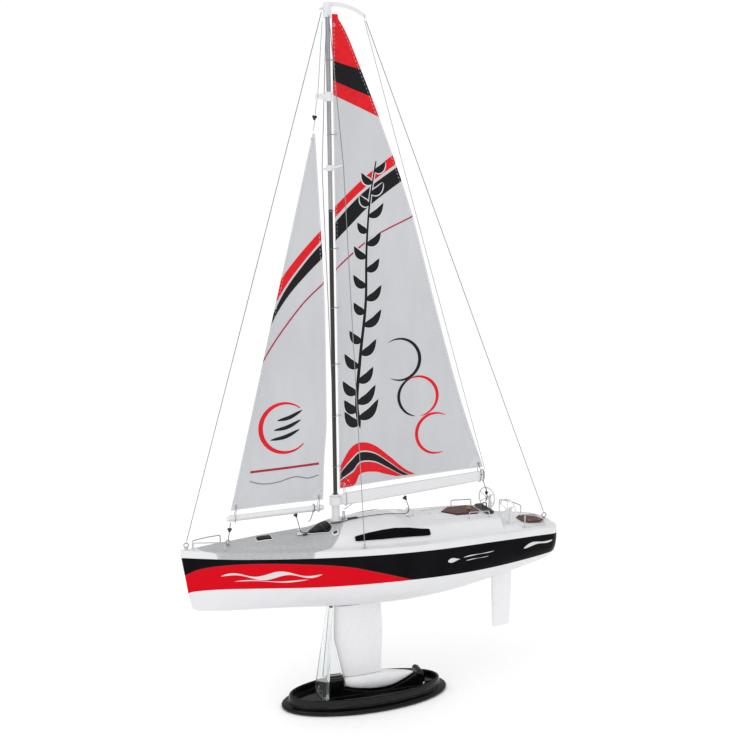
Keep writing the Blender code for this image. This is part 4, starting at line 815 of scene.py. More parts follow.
def curve_cord(name, pts, r, mat, body="boat"):
    curve = bpy.data.curves.new(name, "CURVE")
    curve.dimensions = "3D"
    curve.bevel_depth = r * MM
    curve.bevel_resolution = 3
    curve.use_fill_caps = True
    spline = curve.splines.new("POLY")
    spline.points.add(len(pts) - 1)
    for q, p in zip(spline.points, pts):
        q.co = (*(float(c) * MM for c in p), 1.0)
    obj = bpy.data.objects.new(name, curve)
    bpy.context.scene.collection.objects.link(obj)
    curve.materials.append(mat)
    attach(obj, body)
    return obj


def tube_piece(name, path, r, mat, body=None, n=10, closed=False):
    return piece(name, *tube_data(path, r, n, closed), mat, body, smooth=70.0)


def length_of(pts):
    a = np.array([list(p) for p in pts], float)
    return float(np.linalg.norm(np.diff(a, axis=0), axis=1).sum()) * MM


def merged(parts):
    """Several (verts, faces) as one."""
    verts, faces = [], []
    for v, f in parts:
        off = len(verts)
        verts += list(v)
        faces += [tuple(i + off for i in q) for q in f]
    return verts, faces


def boxed(c, s, k=0.0):
    cx, cy, cz = c
    hx, hy, hz = (v / 2 for v in s)

    def ring(e, z):
        return [(cx - hx + e, cy - hy + e, z), (cx + hx - e, cy - hy + e, z), (cx + hx - e, cy + hy - e, z), (cx - hx + e, cy + hy - e, z)]

    return loft([ring(k, cz - hz), ring(0, cz - hz + k), ring(0, cz + hz - k), ring(k, cz + hz)] if k else [ring(0, cz - hz), ring(0, cz + hz)])


def node_mid(node):
    a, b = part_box(node)
    return (a + b) / 2 / MM


# ---------------------------------------------------------------------- cords

eye = {n: node_mid(n) for n in ("bow_eye", "tack_eye", "stern_eye", "chainplate_port", "chainplate_stbd")}
top_of = {n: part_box(n)[1].z / MM for n in eye}

CORDS = []


def boat_cord(name, node, pts, r, mat):
    obj = curve_cord(name, pts, r, mat)
    if node:
        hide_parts(node)
    CORDS.append((name, length_of(pts)))
    return obj


def straight(a, b, n=24):
    a, b = np.array(a, float), np.array(b, float)
    return [a + (b - a) * k / (n - 1) for k in range(n)]


STAY_R = 0.25
boat_cord("forestay_wire", "forestay", straight((0, -34.2, 452.7), (0, -126.3 + 0.35, top_of["bow_eye"] + 0.55)), STAY_R, STAY_WIRE)
boat_cord("backstay_wire", "backstay", straight((0, -5.2, 449.2), (0, 127.0 - 0.45, top_of["stern_eye"] + 0.55)), STAY_R, STAY_WIRE)
for label, sign in (("port", 1), ("stbd", -1)):
    sp = mast_point(SPREADER_Z)
    tip = (sign * 25.25, sp[1] + 1.6, SPREADER_Z + 0.6)
    foot = (sign * 31.4, -17.0, top_of["chainplate_" + label] + 0.35)
    boat_cord("shroud_wire_" + label, "shroud_" + label, straight((sign * 3.1, -30.3, 450.2), tip, 16) + straight(tip, foot, 28)[1:], STAY_R, STAY_WIRE)

post_z = pad_z(-1.9, 1.9, -53.9, -50.1) + GAP
aft_z = pad_z(-1.9, 1.9, 21.7, 25.5) + GAP


def over_deck(x, y, lift):
    return (x, y, deck_z(x, y) + lift)


sheet_route = smooth_path(
    [
        (0.3, -54.6, 132.4),
        (1.6, -53.2, 127.0),
        (2.0, -51.8, post_z + 2.6),
        over_deck(2.9, -48.6, 1.6),
        over_deck(3.8, -44.0, 2.0),
        over_deck(4.4, -38.0, 2.1),
        over_deck(4.9, -32.4, 2.1),
        over_deck(5.2, -27.3, 0.9),
        over_deck(4.0, -20.0, 0.8),
        over_deck(2.6, -12.0, 0.8),
        over_deck(1.8, -2.0, 0.75),
        over_deck(1.8, 8.0, 0.8),
        over_deck(2.0, 16.0, 1.2),
        (2.1, 21.6, aft_z + 2.0),
        (1.9, 23.8, aft_z + 4.4),
        (1.2, 22.6, 134.4),
        (0.3, 20.9, 139.0),
    ],
    140,
)
deck_cord = boat_cord("deck_sheet_cord", "sheet_line", sheet_route, 0.25, CORD_BLACK)

lift_route = smooth_path([(0.0, -6.2, 449.4), (0.0, 22.6, 350.0), (0.0, 51.8, 250.0), (0.0, 80.5, 152.6)], 60)
lift = tube_piece("topping_lift_cord", lift_route, 0.2, CORD_GREY, n=8)
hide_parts("topping_lift")
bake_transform(lift)
CORDS.append(("topping_lift_cord", length_of(lift_route)))

halyard_route = smooth_path([(0.0, -33.8, 447.0), (0.0, -35.2, 428.0), (0.25, -37.0, 404.0), (0.45, -38.6, 393.5), (0.5, -38.9, 388.6)], 40)
boat_cord("halyard_fall", None, halyard_route, 0.2, CORD_GREY)

# ----------------------------------------------------------------------- hull


def between(values, count):
    out = []
    for a, b in zip(values, values[1:]):
        out += [a + (b - a) * k / count for k in range(count)]
    return out + [values[-1]]


def carve(obj, helpers):
    """Cuts the helpers out of obj for good and throws them away."""
    for k, h in enumerate(helpers):
        m = obj.modifiers.new(f"cut_{k}", "BOOLEAN")
        m.operation = "DIFFERENCE"
        m.solver = "EXACT"
        m.object = h
    bpy.context.view_layer.update()
    graph = bpy.context.evaluated_depsgraph_get()
    made = bpy.data.meshes.new_from_object(obj.evaluated_get(graph))
    obj.modifiers.clear()
    obj.data = made
    for h in helpers:
        bpy.data.objects.remove(h, do_unlink=True)
    bm = bmesh.new()
    bm.from_mesh(made)
    tidy(bm, 34.0)
    bm.to_mesh(made)
    bm.free()
    return obj


HULL_TS = [0.0, 0.006, 0.016, 0.032, 0.055, 0.085, 0.12, 0.165, 0.215, 0.27, 0.33, 0.39, 0.45, 0.51, 0.57, 0.63, 0.69, 0.75, 0.81, 0.865, 0.91, 0.945, 0.97, 0.985, 0.994, 1.0]
QS = between([0.0, 0.14, 0.28, 0.42, 0.56, 0.68, 0.78, 0.86, 0.93, 0.975, 1.0], 4)
hull = piece("hull_paintwork", *loft([hull_ring(t) for t in between(HULL_TS, 4)]), HULL, None, smooth=34.0)
QS = [0.0, 0.14, 0.28, 0.42, 0.56, 0.68, 0.78, 0.86, 0.93, 0.975, 1.0]
core = piece("core_helper", *loft([hull_ring(t, 1.5, 4.0) for t in (0.035, 0.06, 0.09, 0.14, 0.2, 0.27, 0.35, 0.43, 0.51, 0.59, 0.67, 0.75, 0.82, 0.88, 0.93, 0.965, 0.985)]), HULL, None)
stud = piece("stud_helper", *cyl_data((0, -12.0, 60), (0, -12.0, 80), 1.9, n=14), HULL, None)
tube = piece("tube_helper", *cyl_data((0, RUDDER_AXIS_Y, 70), (0, RUDDER_AXIS_Y, 92), 2.3, n=14), HULL, None)
carve(hull, [core, stud, tube])
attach(hull, "boat")
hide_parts("hull_shell")

# ----------------------------------------------------------------------- deck


def soft_side(y):
    """The deck's half section with even curves along the length and rounded shoulders."""
    b = half_beam(y)
    zs = sheer(y)
    H = smooth_table(y, TRUNK_H)
    W = min(smooth_table(y, TRUNK_W), b - 2.6)
    W = max(W, 0.45 * b)
    raised = min(1.0, max(0.0, (H - 1.6) / 0.8))
    roof = 0.8 - 0.02 * raised
    crown = 0.35 + (smooth_table(y, CROWN) - 0.35) * raised
    top = zs + H
    low = zs + 0.6
    z4 = top - 1.15 * crown * H
    pts = [(0, top), (0.40 * W * roof, top - 0.2 * crown * H), (0.78 * W * roof, top - 0.65 * crown * H), (W * roof, z4)]
    pts += [(W * (roof + 0.42 * (1 - roof)), z4 + 0.36 * (low - z4)), (W * (roof + 0.76 * (1 - roof)), z4 + 0.74 * (low - z4)), (W, low)]
    side = b - W
    pts += [(W + 0.5 * side, zs + 0.45), (W + 0.86 * side, zs + 0.2), (b - 0.25 * min(1, side), zs + 0.1), (b + 0.25, zs - 0.5), (b + 0.45, zs - RIM_DEPTH + GAP)]
    p = [np.array(v, float) for v in pts]
    for _ in range(2):
        q = [p[0]]
        for i in range(1, len(p) - 1):
            q += [p[i] + (p[i - 1] - p[i]) * 0.2, p[i] + (p[i + 1] - p[i]) * 0.2]
        q.append(p[-1])
        p = q
    return p


def soft_ring(y):
    half = soft_side(y)
    return [(v[0], y, v[1]) for v in half[::-1]] + [(-v[0], y, v[1]) for v in half[1:]]


rows = sorted(set([round(v, 3) for v in np.arange(-129.0, 129.01, 1.5)] + [-130.0, -129.6, -129.2, 129.4, 129.7, 130.0] + [round(v, 3) for v in np.arange(83.6, 86.2, 0.3)] + [round(v, 3) for v in np.arange(98.4, 101.8, 0.4)]))
deck = piece("deck_gelcoat", *loft([soft_ring(y) for y in rows]), DECK, None, smooth=34.0)
inner_rows = [-124, -117, -110, -102, -94, -84, -76, -62, -52, -44, -36, -30, -24, -12, 4, 12, 20, 25, 40, 55, 70, 84.0, 85.4, 99, 101, 110, 118, 124, 127.5]
core = piece("deck_core_helper", *loft([deck_ring(y, 1.4, 1.4) for y in inner_rows]), DECK, None)
HATCH_Y0, HATCH_Y1, HATCH_W = 48.0, 74.0, 9.0
hatch_c = (HATCH_Y0 + HATCH_Y1) / 2
hex_pts = [(0.0, HATCH_Y0), (HATCH_W, HATCH_Y0 + 8), (HATCH_W, HATCH_Y1 - 3), (HATCH_W - 3, HATCH_Y1), (-HATCH_W + 3, HATCH_Y1), (-HATCH_W, HATCH_Y1 - 3), (-HATCH_W, HATCH_Y0 + 8)]
hole = [(x * 0.77, hatch_c + (y - hatch_c) * 0.81) for x, y in hex_pts]
hole_cut = piece("hatch_hole_helper", *loft([[(x, y, 110) for x, y in hole], [(x, y, 135) for x, y in hole]]), DECK, None)
carve(deck, [core, hole_cut])
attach(deck, "boat")
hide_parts("deck_moulding")


def revolve(profile, c, axis, n=24):
    """(distance along the axis, radius) points turned about the axis through c."""
    u, v = frame_of(np.array(axis, float))
    a = np.array(axis, float) / np.linalg.norm(axis)
    rings = []
    for s, r in profile:
        p = np.array(c, float) + a * s
        rings.append([tuple(p + r * (math.cos(2 * math.pi * k / n) * u + math.sin(2 * math.pi * k / n) * v)) for k in range(n)])
    return loft(rings)


for label, sign in (("port", 1), ("stbd", -1)):
    hub_c = np.array([sign * WHEEL_X, WHEEL_Y, WHEEL_Z])
    ax = np.array([-math.sin(WHEEL_TURN), math.cos(WHEEL_TURN), 0.0])
    foot = hub_c + ax * 3.4
    pz = deck_z(foot[0], foot[1])
    column = revolve([(-0.8, 2.4), (0.15, 2.4), (0.5, 1.75), (2.0, 1.5), (WHEEL_Z - pz - 1.2, 0.95), (WHEEL_Z - pz + 0.4, 1.15), (WHEEL_Z - pz + 1.3, 0.95), (WHEEL_Z - pz + 1.7, 0.4)], (foot[0], foot[1], pz), (0, 0, 1))
    axle = revolve([(0.0, 0.6), (0.1, 0.75), (2.0, 0.75), (2.1, 0.6)], foot - ax * 1.9, ax, 14)
    piece("wheel_column_" + label, *merged([column, axle]), WHITE, "boat")


for label, sign, node in (("port", 1, "wheel_port"), ("stbd", -1, "wheel_stbd")):
    lo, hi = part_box(node)
    c = np.array([(lo[k] + hi[k]) / 2 / MM for k in range(3)])
    ax = np.array([-math.sin(WHEEL_TURN), math.cos(WHEEL_TURN), 0.0])
    u, v = frame_of(ax)
    rim = (hi.z - lo.z) / 2 / MM - 0.55
    parts = [tube_data(circle_path(tuple(c), rim, tuple(ax), 48), 0.5, 10, closed=True)]
    parts.append(revolve([(-0.85, 0.7), (-0.7, 1.25), (0.7, 1.25), (0.85, 0.7)], c, ax, 20))
    for k in range(6):
        t = math.radians(30 + 60 * k)
        d = math.cos(t) * u + math.sin(t) * v
        parts.append(tube_data([tuple(c + d * q) for q in (0.9, 0.5 * rim, rim - 0.1)], 0.34, 8))
    wheel = piece("wheel_fine_" + label, *merged(parts), WHITE, "helm_" + label, smooth=50)
    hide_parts(node)


def draped(name, mat, ys, half, lift, thick, cx=0.0, cols=9, body="boat"):
    """A thin closed plate that follows the deck."""
    rings = []
    for y in ys:
        w = half(y)
        xs = [cx - w + 2 * w * k / (cols - 1) for k in range(cols)]
        rings.append([(x, y, deck_z(x, y) + lift) for x in xs] + [(x, y, deck_z(x, y) + lift + thick) for x in reversed(xs)])
    return piece(name, *loft(rings), mat, body, smooth=40.0, bevel=0.06)


# The dark plate in the mast slot is painted shade for the depth of the opening.
draped("mast_slot", SLOT_PAINTED_SHADE, [-19.6, -19.2, -16, -12.6, -12.2], lambda y: 2.1 if -19.4 < y < -12.4 else 1.7, 0.05, 0.35)
draped("mast_slot_frame", WHITE, [-20.6, -20.2, -19.9], lambda y: 2.6, 0.05, 0.7)
refined("foredeck_hatch", GLASS_BLACK, 0.12, 30)
refined("mast_hatch", GLASS_BLACK, 0.12, 30)
for name in ("cabin_window_port", "cabin_window_stbd"):
    refined(name, GLASS_BLACK, 0.12, 35)


def outline_rail(name, pts, r, mat, lift=0.25, n=8):
    loop = []
    for a, b in zip(pts, pts[1:] + pts[:1]):
        for k in range(6):
            x, y = a[0] + (b[0] - a[0]) * k / 6, a[1] + (b[1] - a[1]) * k / 6
            loop.append((x, y, deck_z(x, y) + lift))
    return tube_piece(name, loop, r, mat, "boat", n, closed=True)


outline_rail("foredeck_hatch_frame", [(-4.4, -81.3), (4.4, -81.3), (4.4, -70.7), (-4.4, -70.7)], 0.42, WHITE, 0.3)
outline_rail("mast_hatch_frame", [(-1.6, -47.1), (1.6, -47.1), (11.4, -35.2), (9.6, -31.9), (7.0, -31.3), (-7.0, -31.3), (-9.6, -31.9), (-11.4, -35.2)], 0.26, WHITE, 0.25)
for k, (x0, y0, x1, y1) in enumerate(((-5.0, -41.6, 5.0, -41.6), (-9.8, -36.6, 9.8, -36.6))):
    pts = [(x0 + (x1 - x0) * i / 12, y0, deck_z(x0 + (x1 - x0) * i / 12, y0) + 1.05) for i in range(13)]
    tube_piece(f"mast_hatch_bar_{k}", pts, 0.2, BLACK_SATIN, "boat", 8)
draped("port_vent_frame", WHITE, [-33.9, -33.3, -30.6, -30.0], lambda y: 2.0, 0.1, 0.8, cx=15.4)
# The dark plates in the vent frame and at the sheet inlet are painted shade for the openings.
draped("port_vent_slot", SLOT_PAINTED_SHADE, [-33.2, -30.7], lambda y: 1.3, 0.75, 0.3, cx=15.4)
draped("sheet_inlet", SLOT_PAINTED_SHADE, [-50.4, -47.4], lambda y: 1.3, 0.15, 0.4, cx=2.2)

# hatch lid, stern panel and helm bench
refined("cockpit_hatch_lid", TEAK, 0.15, 40)
refined("stern_sole", TEAK, 0.15, 40)
refined("helm_bench", BLACK_SATIN, 0.12, 50)
lid_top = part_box("cockpit_hatch_lid")[1].z / MM
knob = [(0, 1.7), (0.2, 1.8), (0.5, 1.5), (0.8, 0.9), (1.0, 0.85), (1.3, 1.3), (1.6, 1.35), (1.8, 0.8)]
piece("hatch_knob", *revolve(knob, (0, 68.5, lid_top), (0, 0, 1), 20), BRASS, "hatch_lid")
sole_lo, sole_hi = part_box("stern_sole")
for k, (x, y) in enumerate(((-6.6, 112.2), (6.6, 112.2), (-6.6, 119.8), (6.6, 119.8))):
    piece(f"sole_screw_{k}", *revolve([(0, 0.75), (0.12, 0.75), (0.3, 0.5), (0.36, 0.2)], (x, y, sole_hi.z / MM), (0, 0, 1), 14), BRASS, "boat")
# a moulded coaming round the hatch and a low seat edge each side of the cockpit
lip = [(x * 1.13, hatch_c + (y - hatch_c) * 1.09) for x, y in hex_pts]
outline_rail("hatch_coaming", lip, 0.55, WHITE, 0.2, 10)
for label, sign in (("port", 1), ("stbd", -1)):
    pts = [(sign * smooth_table(y, [(36, 12.0), (60, 13.8), (82, 12.6)]), y) for y in np.arange(36, 82.1, 2.3)]
    tube_piece("seat_edge_" + label, [(x, y, deck_z(x, y) + 0.25) for x, y in pts], 0.6, WHITE, "boat", 10)

# --------------------------------------------------- rails, eyes, posts, mast
for name in ("bow_rail_port", "bow_rail_stbd", "stern_rail_port", "stern_rail_stbd", "cockpit_rail_port", "cockpit_rail_stbd"):
    refined(name, STEEL, 0, 75)
    a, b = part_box(name)
refined("roof_grab_rail", WHITE, 0, 75)
for name in ("bow_eye", "tack_eye", "stern_eye", "chainplate_port", "chainplate_stbd", "kicker_pin"):
    refined(name, STEEL, 0.05, 60)
    a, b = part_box(name)
for name, y in (("sheet_post_fore", -52.0), ("sheet_post_aft", 23.6)):
    a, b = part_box(name)
    z0, z1 = a.z / MM, b.z / MM
    h = z1 - z0
    post = [(0, 1.75), (0.08, 1.9), (0.6, 1.9), (0.85, 1.6), (1.0, 0.85), (1.5, 0.72), (h - 2.0, 0.72), (h - 1.6, 1.1), (h - 1.35, 1.42), (h - 0.5, 1.45), (h - 0.12, 1.15), (h, 0.6)]
    obj = piece(name + "_turned", *revolve(post, (0, y, z0), (0, 0, 1), 28), WHITE, "boat")
    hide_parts(name)

refined("mast_step", WHITE, 0.2, 35)
mast = refined("mast", MAST, 0.12, 35)
for name, bevel in (("masthead_crane", 0.15), ("halyard_collar", 0.15), ("spreaders", 0.12)):
    refined(name, WHITE, bevel, 40)
refined("main_boom", WHITE, 0.22, 34)
refined("jib_boom", WHITE, 0.15, 34)
refined("keel_nut", BRASS, 0.1, 40)
for name in ("rudder_servo", "sail_servo"):
    refined(name, BLUE, 0.2, 40)
for name in ("rudder_servo_horn", "sail_servo_arm"):
    refined(name, WHITE_SATIN, 0.12, 40)
for name in ("receiver", "battery_box", "equipment_tray", "tiller_arm", "rudder_tube"):
    refined(name, BLACK_SATIN, 0.15, 40)
refined("rudder_pushrod", STEEL, 0, 70)

# ------------------------------------------------------- keel, bulb, rudder


def fine_foil(rows_in, count, steps=12):
    """A foil with more stations and rows than the solid."""
    zs = [r[0] for r in rows_in]
    rings = []
    for i in range(count + 1):
        z = zs[0] + (zs[-1] - zs[0]) * i / count
        y0, y1, half = (smooth_table(z, [(r[0], r[k]) for r in rows_in]) for k in (1, 2, 3))
        table = [(0.0, 0.16), (0.05, 0.62), (0.14, 0.9), (0.3, 1.0), (0.55, 0.86), (0.8, 0.5), (1.0, 0.12)]
        ss = sorted(set([0.0, 0.008, 0.02, 0.035] + [0.05 + 0.95 * k / (2 * steps) for k in range(2 * steps + 1)]))
        pts = [(half * smooth_table(s, table), y0 + (y1 - y0) * s, z) for s in ss]
        rings.append(pts + [(-x, y, zz) for x, y, zz in reversed(pts)])
    return loft(rings)


# The fin takes the lighter white, painted light for the shade it stands in.
fin = piece("keel_fin_faired", *fine_foil([(FIN_BOTTOM, -23.2, 4.0, 2.6), (24, -24.7, 4.4, 2.8), (34, -27.0, 4.7, 2.9), (45.8, -29.2, 5.1, 3.0), (56, -29.1, 4.6, 3.1), (FIN_TOP, -29.0, 4.0, 3.2)], 30), FIN_WHITE_PAINTED_LIGHT, "boat", smooth=50)
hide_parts("keel_fin")
stud = piece("keel_stud", *revolve([(0, 1.5), (9.6, 1.5), (10.0, 1.2)], (0, -12.0, 66.6), (0, 0, 1), 20), STEEL, "boat")


def bulb_fine(y, n=40):
    lo_z, hi_z = smooth_table(y, BULB_LOW), smooth_table(y, BULB_TOP)
    w = BULB_HALF * smooth_table(y, BULB_W)
    pts = []
    for k in range(n):
        a = 2 * math.pi * k / n + math.pi / n
        c, s = math.cos(a), math.sin(a)
        f = math.copysign(abs(s) ** 0.85, s)
        if f > 0.72:
            f = 0.72 + (f - 0.72) * 0.15 if f < 0.9 else 1.0 - (1.0 - f) * 0.6
        pts.append((w * math.copysign(abs(c) ** 0.85, c), y, (lo_z + hi_z) / 2 + (hi_z - lo_z) / 2 * min(f, 1.0)))
    return pts


bulb = refined("ballast_bulb", finish("painted_lead", (0.80, 0.805, 0.815), 0.26, coat=0.3, vary=0.02, bump=0.08, scale=90.0), 0.5, 30)
# The rudder takes the same lighter white, painted light for its shade.
rudder = refined("rudder_blade", FIN_WHITE_PAINTED_LIGHT, 0.2, 38)

# ---------------------------------------------------------------------- sails

CLOTH_T = 0.09  # half thickness of the cloth, mm


class Sail:
    """A cambered cloth surface between a luff and a leech, addressed by (y, z)."""

    def __init__(self, luff, leech, camber, corners_yz, seed):
        self.luff, self.leech, self.camber = luff, leech, camber
        self.v = np.linspace(0, 1, 601)
        self.a = np.array([luff(v) for v in self.v], float)
        self.b = np.array([leech(v) for v in self.v], float)
        self.corners = corners_yz
        self.seed = seed

    def at(self, u, v):
        a = np.stack([np.interp(v, self.v, self.a[:, k]) for k in (0, 1)], -1)
        b = np.stack([np.interp(v, self.v, self.b[:, k]) for k in (0, 1)], -1)
        p = a + (b - a) * u[..., None]
        chord = np.linalg.norm(b - a, axis=-1)
        depth = self.camber * (chord / 100.0) * (0.45 + 1.1 * v * (1 - v) * 2) * 4 * np.clip(u, 0, 1) ** 0.8 * (1 - u) * (1.0 - 0.25 * v)
        return p, -depth + self.folds(p[..., 0], p[..., 1], u, v)

    def folds(self, y, z, u, v):
        """Soft creases that run out from the corners and along the luff."""
        out = np.zeros_like(y)
        for k, (cy, cz, reach, count, size) in enumerate(self.corners):
            dy, dz = y - cy, z - cz
            r = np.hypot(dy, dz)
            ang = np.arctan2(dz, dy)
            ramp = np.clip(r / 9.0, 0, 1) ** 1.3 * np.exp(-((r / reach) ** 2))
            out += size * ramp * np.sin(count * ang + 1.7 * k + self.seed + 0.02 * r)
        out += 0.10 * np.sin(z / 7.3 + self.seed) * np.exp(-((u / 0.10) ** 2)) * np.clip(u / 0.02, 0, 1)
        out += 0.12 * np.sin(y / 9.0 + z / 31.0 + self.seed) * np.sin(z / 23.0 + 0.6)
        edge = np.clip(np.minimum(np.minimum(u, 1 - u) / 0.03, np.minimum(v, 1 - v) / 0.02), 0.25, 1)
        return out * edge

    def uv(self, y, z):
        z0, z1 = self.a[0, 1], self.a[-1, 1]
        v = np.clip((z - z0) / (z1 - z0), 0, 1)
        for _ in range(14):
            ay, az = np.interp(v, self.v, self.a[:, 0]), np.interp(v, self.v, self.a[:, 1])
            by, bz = np.interp(v, self.v, self.b[:, 0]), np.interp(v, self.v, self.b[:, 1])
            u = np.clip((y - ay) / (by - ay), 0, 1)
            v = np.clip(v + (z - (az + (bz - az) * u)) / (z1 - z0), 0, 1)
        return u, v

    def inside(self, pts, margin=0.0):
        """Points pulled back to the cloth's outline."""
        p = np.array(pts, float)
        shape = p.shape
        p = p.reshape(-1, 2)
        foot = self.a[0, 1] + (self.b[0, 1] - self.a[0, 1]) * np.clip((p[:, 0] - self.a[0, 0]) / (self.b[0, 0] - self.a[0, 0]), 0, 1)
        p[:, 1] = np.maximum(p[:, 1], foot + margin)
        lz, rz = self.a[:, 1], self.b[:, 1]
        left = np.interp(p[:, 1], lz, self.a[:, 0]) + margin
        right = np.interp(p[:, 1], rz, self.b[:, 0]) - margin
        p[:, 0] = np.clip(p[:, 0], left, np.maximum(right, left + 0.05))
        return p.reshape(shape)

    def slabs(self, strips, half, margin=0.0):
        """Closed thin slabs on the cloth. Each strip is (line A, line B, cross steps) in (y, z)."""
        verts, faces = [], []
        for A, B, m in strips:
            A, B = np.array(A, float), np.array(B, float)
            n = len(A)
            t = np.linspace(0, 1, m + 1)[None, :, None]
            grid = self.inside(A[:, None, :] * (1 - t) + B[:, None, :] * t, margin)
            u, v = self.uv(grid[..., 0], grid[..., 1])
            _, x = self.at(u, v)
            off = len(verts)
            w = m + 1
            for s in (half, -half):
                for i in range(n):
                    for j in range(w):
                        verts.append((x[i, j] + s, grid[i, j, 0], grid[i, j, 1]))
            k = n * w
            for i in range(n - 1):
                for j in range(m):
                    a = off + i * w + j
                    faces.append((a, a + 1, a + 1 + w, a + w))
                    faces.append((a + k, a + w + k, a + 1 + w + k, a + 1 + k))
            for i in range(n - 1):
                for j in (0, m):
                    a, b = off + i * w + j, off + (i + 1) * w + j
                    faces.append((a, b, b + k, a + k))
            for j in range(m):
                for i in (0, n - 1):
                    a, b = off + i * w + j, off + i * w + j + 1
                    faces.append((a, b, b + k, a + k))
        return verts, faces

    def cloth(self, nu, nv):
        u, v = np.meshgrid(np.linspace(0, 1, nu + 1), np.linspace(0, 1, nv + 1))
        p, x = self.at(u, v)
        verts, faces = [], []
        w = nu + 1
        for s in (CLOTH_T, -CLOTH_T):
            for i in range(nv + 1):
                for j in range(w):
                    verts.append((x[i, j] + s, p[i, j, 0], p[i, j, 1]))
        k = (nv + 1) * w
        for i in range(nv):
            for j in range(nu):
                a = i * w + j
                faces.append((a, a + 1, a + 1 + w, a + w))
                faces.append((a + k, a + w + k, a + 1 + w + k, a + 1 + k))
        for i in range(nv):
            for j in (0, nu):
                a, b = i * w + j, (i + 1) * w + j
                faces.append((a, b, b + k, a + k))
        for j in range(nu):
            for i in (0, nv):
                a, b = i * w + j, i * w + j + 1
                faces.append((a, b, b + k, a + k))
        return verts, faces

    def surface(self, y, z):
        u, v = self.uv(np.array([y], float), np.array([z], float))
        return float(self.at(u, v)[1][0])


def sampled(points, n=40):
    """Smooth (y, z) line through the points."""
    return np.array([(p[0], p[1]) for p in smooth_path([(a, b, 0.0) for a, b in points], n)])


def thick_line(points, width, n=40, taper=None):
    """Two edges of a stroke along a smooth line; taper(s) scales the width."""
    c = sampled(points, n)
    t = np.gradient(c, axis=0)
    t /= np.linalg.norm(t, axis=1)[:, None]
    nrm = np.stack([-t[:, 1], t[:, 0]], -1)
    s = np.linspace(0, 1, n)
    w = width / 2 * (np.ones(n) if taper is None else np.array([max(0.04, taper(v)) for v in s]))
    return c + nrm * w[:, None], c - nrm * w[:, None]


def arc_line(c, r, a0, a1, n=60):
    return [(c[0] + r * math.cos(math.radians(a0 + (a1 - a0) * k / (n - 1))), c[1] + r * math.sin(math.radians(a0 + (a1 - a0) * k / (n - 1)))) for k in range(n)]


def ring_stroke(c, r, a0, a1, width, taper=None):
    n = 60
    ang = np.radians(np.linspace(a0, a1, n))
    s = np.linspace(0, 1, n)
    w = width / 2 * (np.ones(n) if taper is None else np.array([max(0.06, taper(v)) for v in s]))
    d = np.stack([np.cos(ang), np.sin(ang)], -1)
    c = np.array(c, float)
    return c + d * (r + w)[:, None], c + d * (r - w)[:, None]


main = Sail(main_luff, main_leech, MAIN_CAMBER, [(79.0, 154.6, 60.0, 17, 0.16), (-23.4, 147.4, 45.0, 15, 0.14), (-26.6, 449.0, 60.0, 15, 0.12), (-28.5, 401.0, 26.0, 11, 0.08)], 0.4)
jib = Sail(jib_luff, jib_leech, JIB_CAMBER, [(-35.9, 141.2, 42.0, 15, 0.13), (-97.3, 138.9, 38.0, 13, 0.12), (-40.5, 378.6, 50.0, 15, 0.12)], 1.9)

mainsail = piece("mainsail_cloth", *main.cloth(64, 170), SAIL, "main_boom", smooth=60)
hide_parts("mainsail")
jibsail = piece("jib_cloth", *jib.cloth(44, 140), SAIL, "jib_boom", smooth=60)
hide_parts("jib_sail")


def printed(name, sail, strips, mat, layer, body, margin=0.0):
    if not strips:
        return None
    return piece(name, *sail.slabs(strips, CLOTH_T + 0.035 * layer, margin), mat, body, smooth=60)


def swell(p=0.7):
    return lambda s: math.sin(math.pi * min(max(s, 0.0), 1.0)) ** p


# the head of the mainsail is dyed red, with a black band across it
head_low = [(-32.0, 404.4), (-28.4, 403.1), (-12.7, 396.9), (4.6, 389.4)]
low_line = sampled(head_low, 26)
top_line = np.array([(-31.0 + 8.5 * k / 25, 452.0) for k in range(26)])
M_RED, M_BLACK, M_DARK, M_WHITE, M_GREY = [], [], [], [], []
M_RED.append((low_line, top_line, 44))
M_HEAD_BLACK = [(sampled([(-32, 413.5), (-27.7, 411.7), (-14, 406.8), (-0.6, 402.0)], 26), sampled([(-32, 424.4), (-26.3, 423.4), (-16, 420.8), (-5.6, 418.2)], 26), 10)]

# the diagonal flash: red over black with a thin gap
M_RED.append((sampled([(-31, 328.4), (-29.4, 329.9), (-16.3, 342.2), (-2.8, 354.3), (14.5, 367.4)], 40), sampled([(-31, 321.0), (-29.4, 322.7), (-16.3, 335.8), (-2.8, 347.6), (16.0, 361.2)], 40), 6))
M_BLACK.append((sampled([(-31, 317.6), (-29.1, 319.6), (-16.3, 333.1), (-2.8, 345.2), (17.5, 359.8)], 40), sampled([(-31, 306.3), (-28.9, 308.4), (-16.4, 320.4), (-1.1, 334.8), (21.0, 351.3)], 40), 8))
M_DARK.append((*thick_line([(-31, 287.4), (-28.7, 289.8), (-20.7, 297.4), (-0.9, 312.8), (28.6, 327.9)], 0.9, 50), 1))

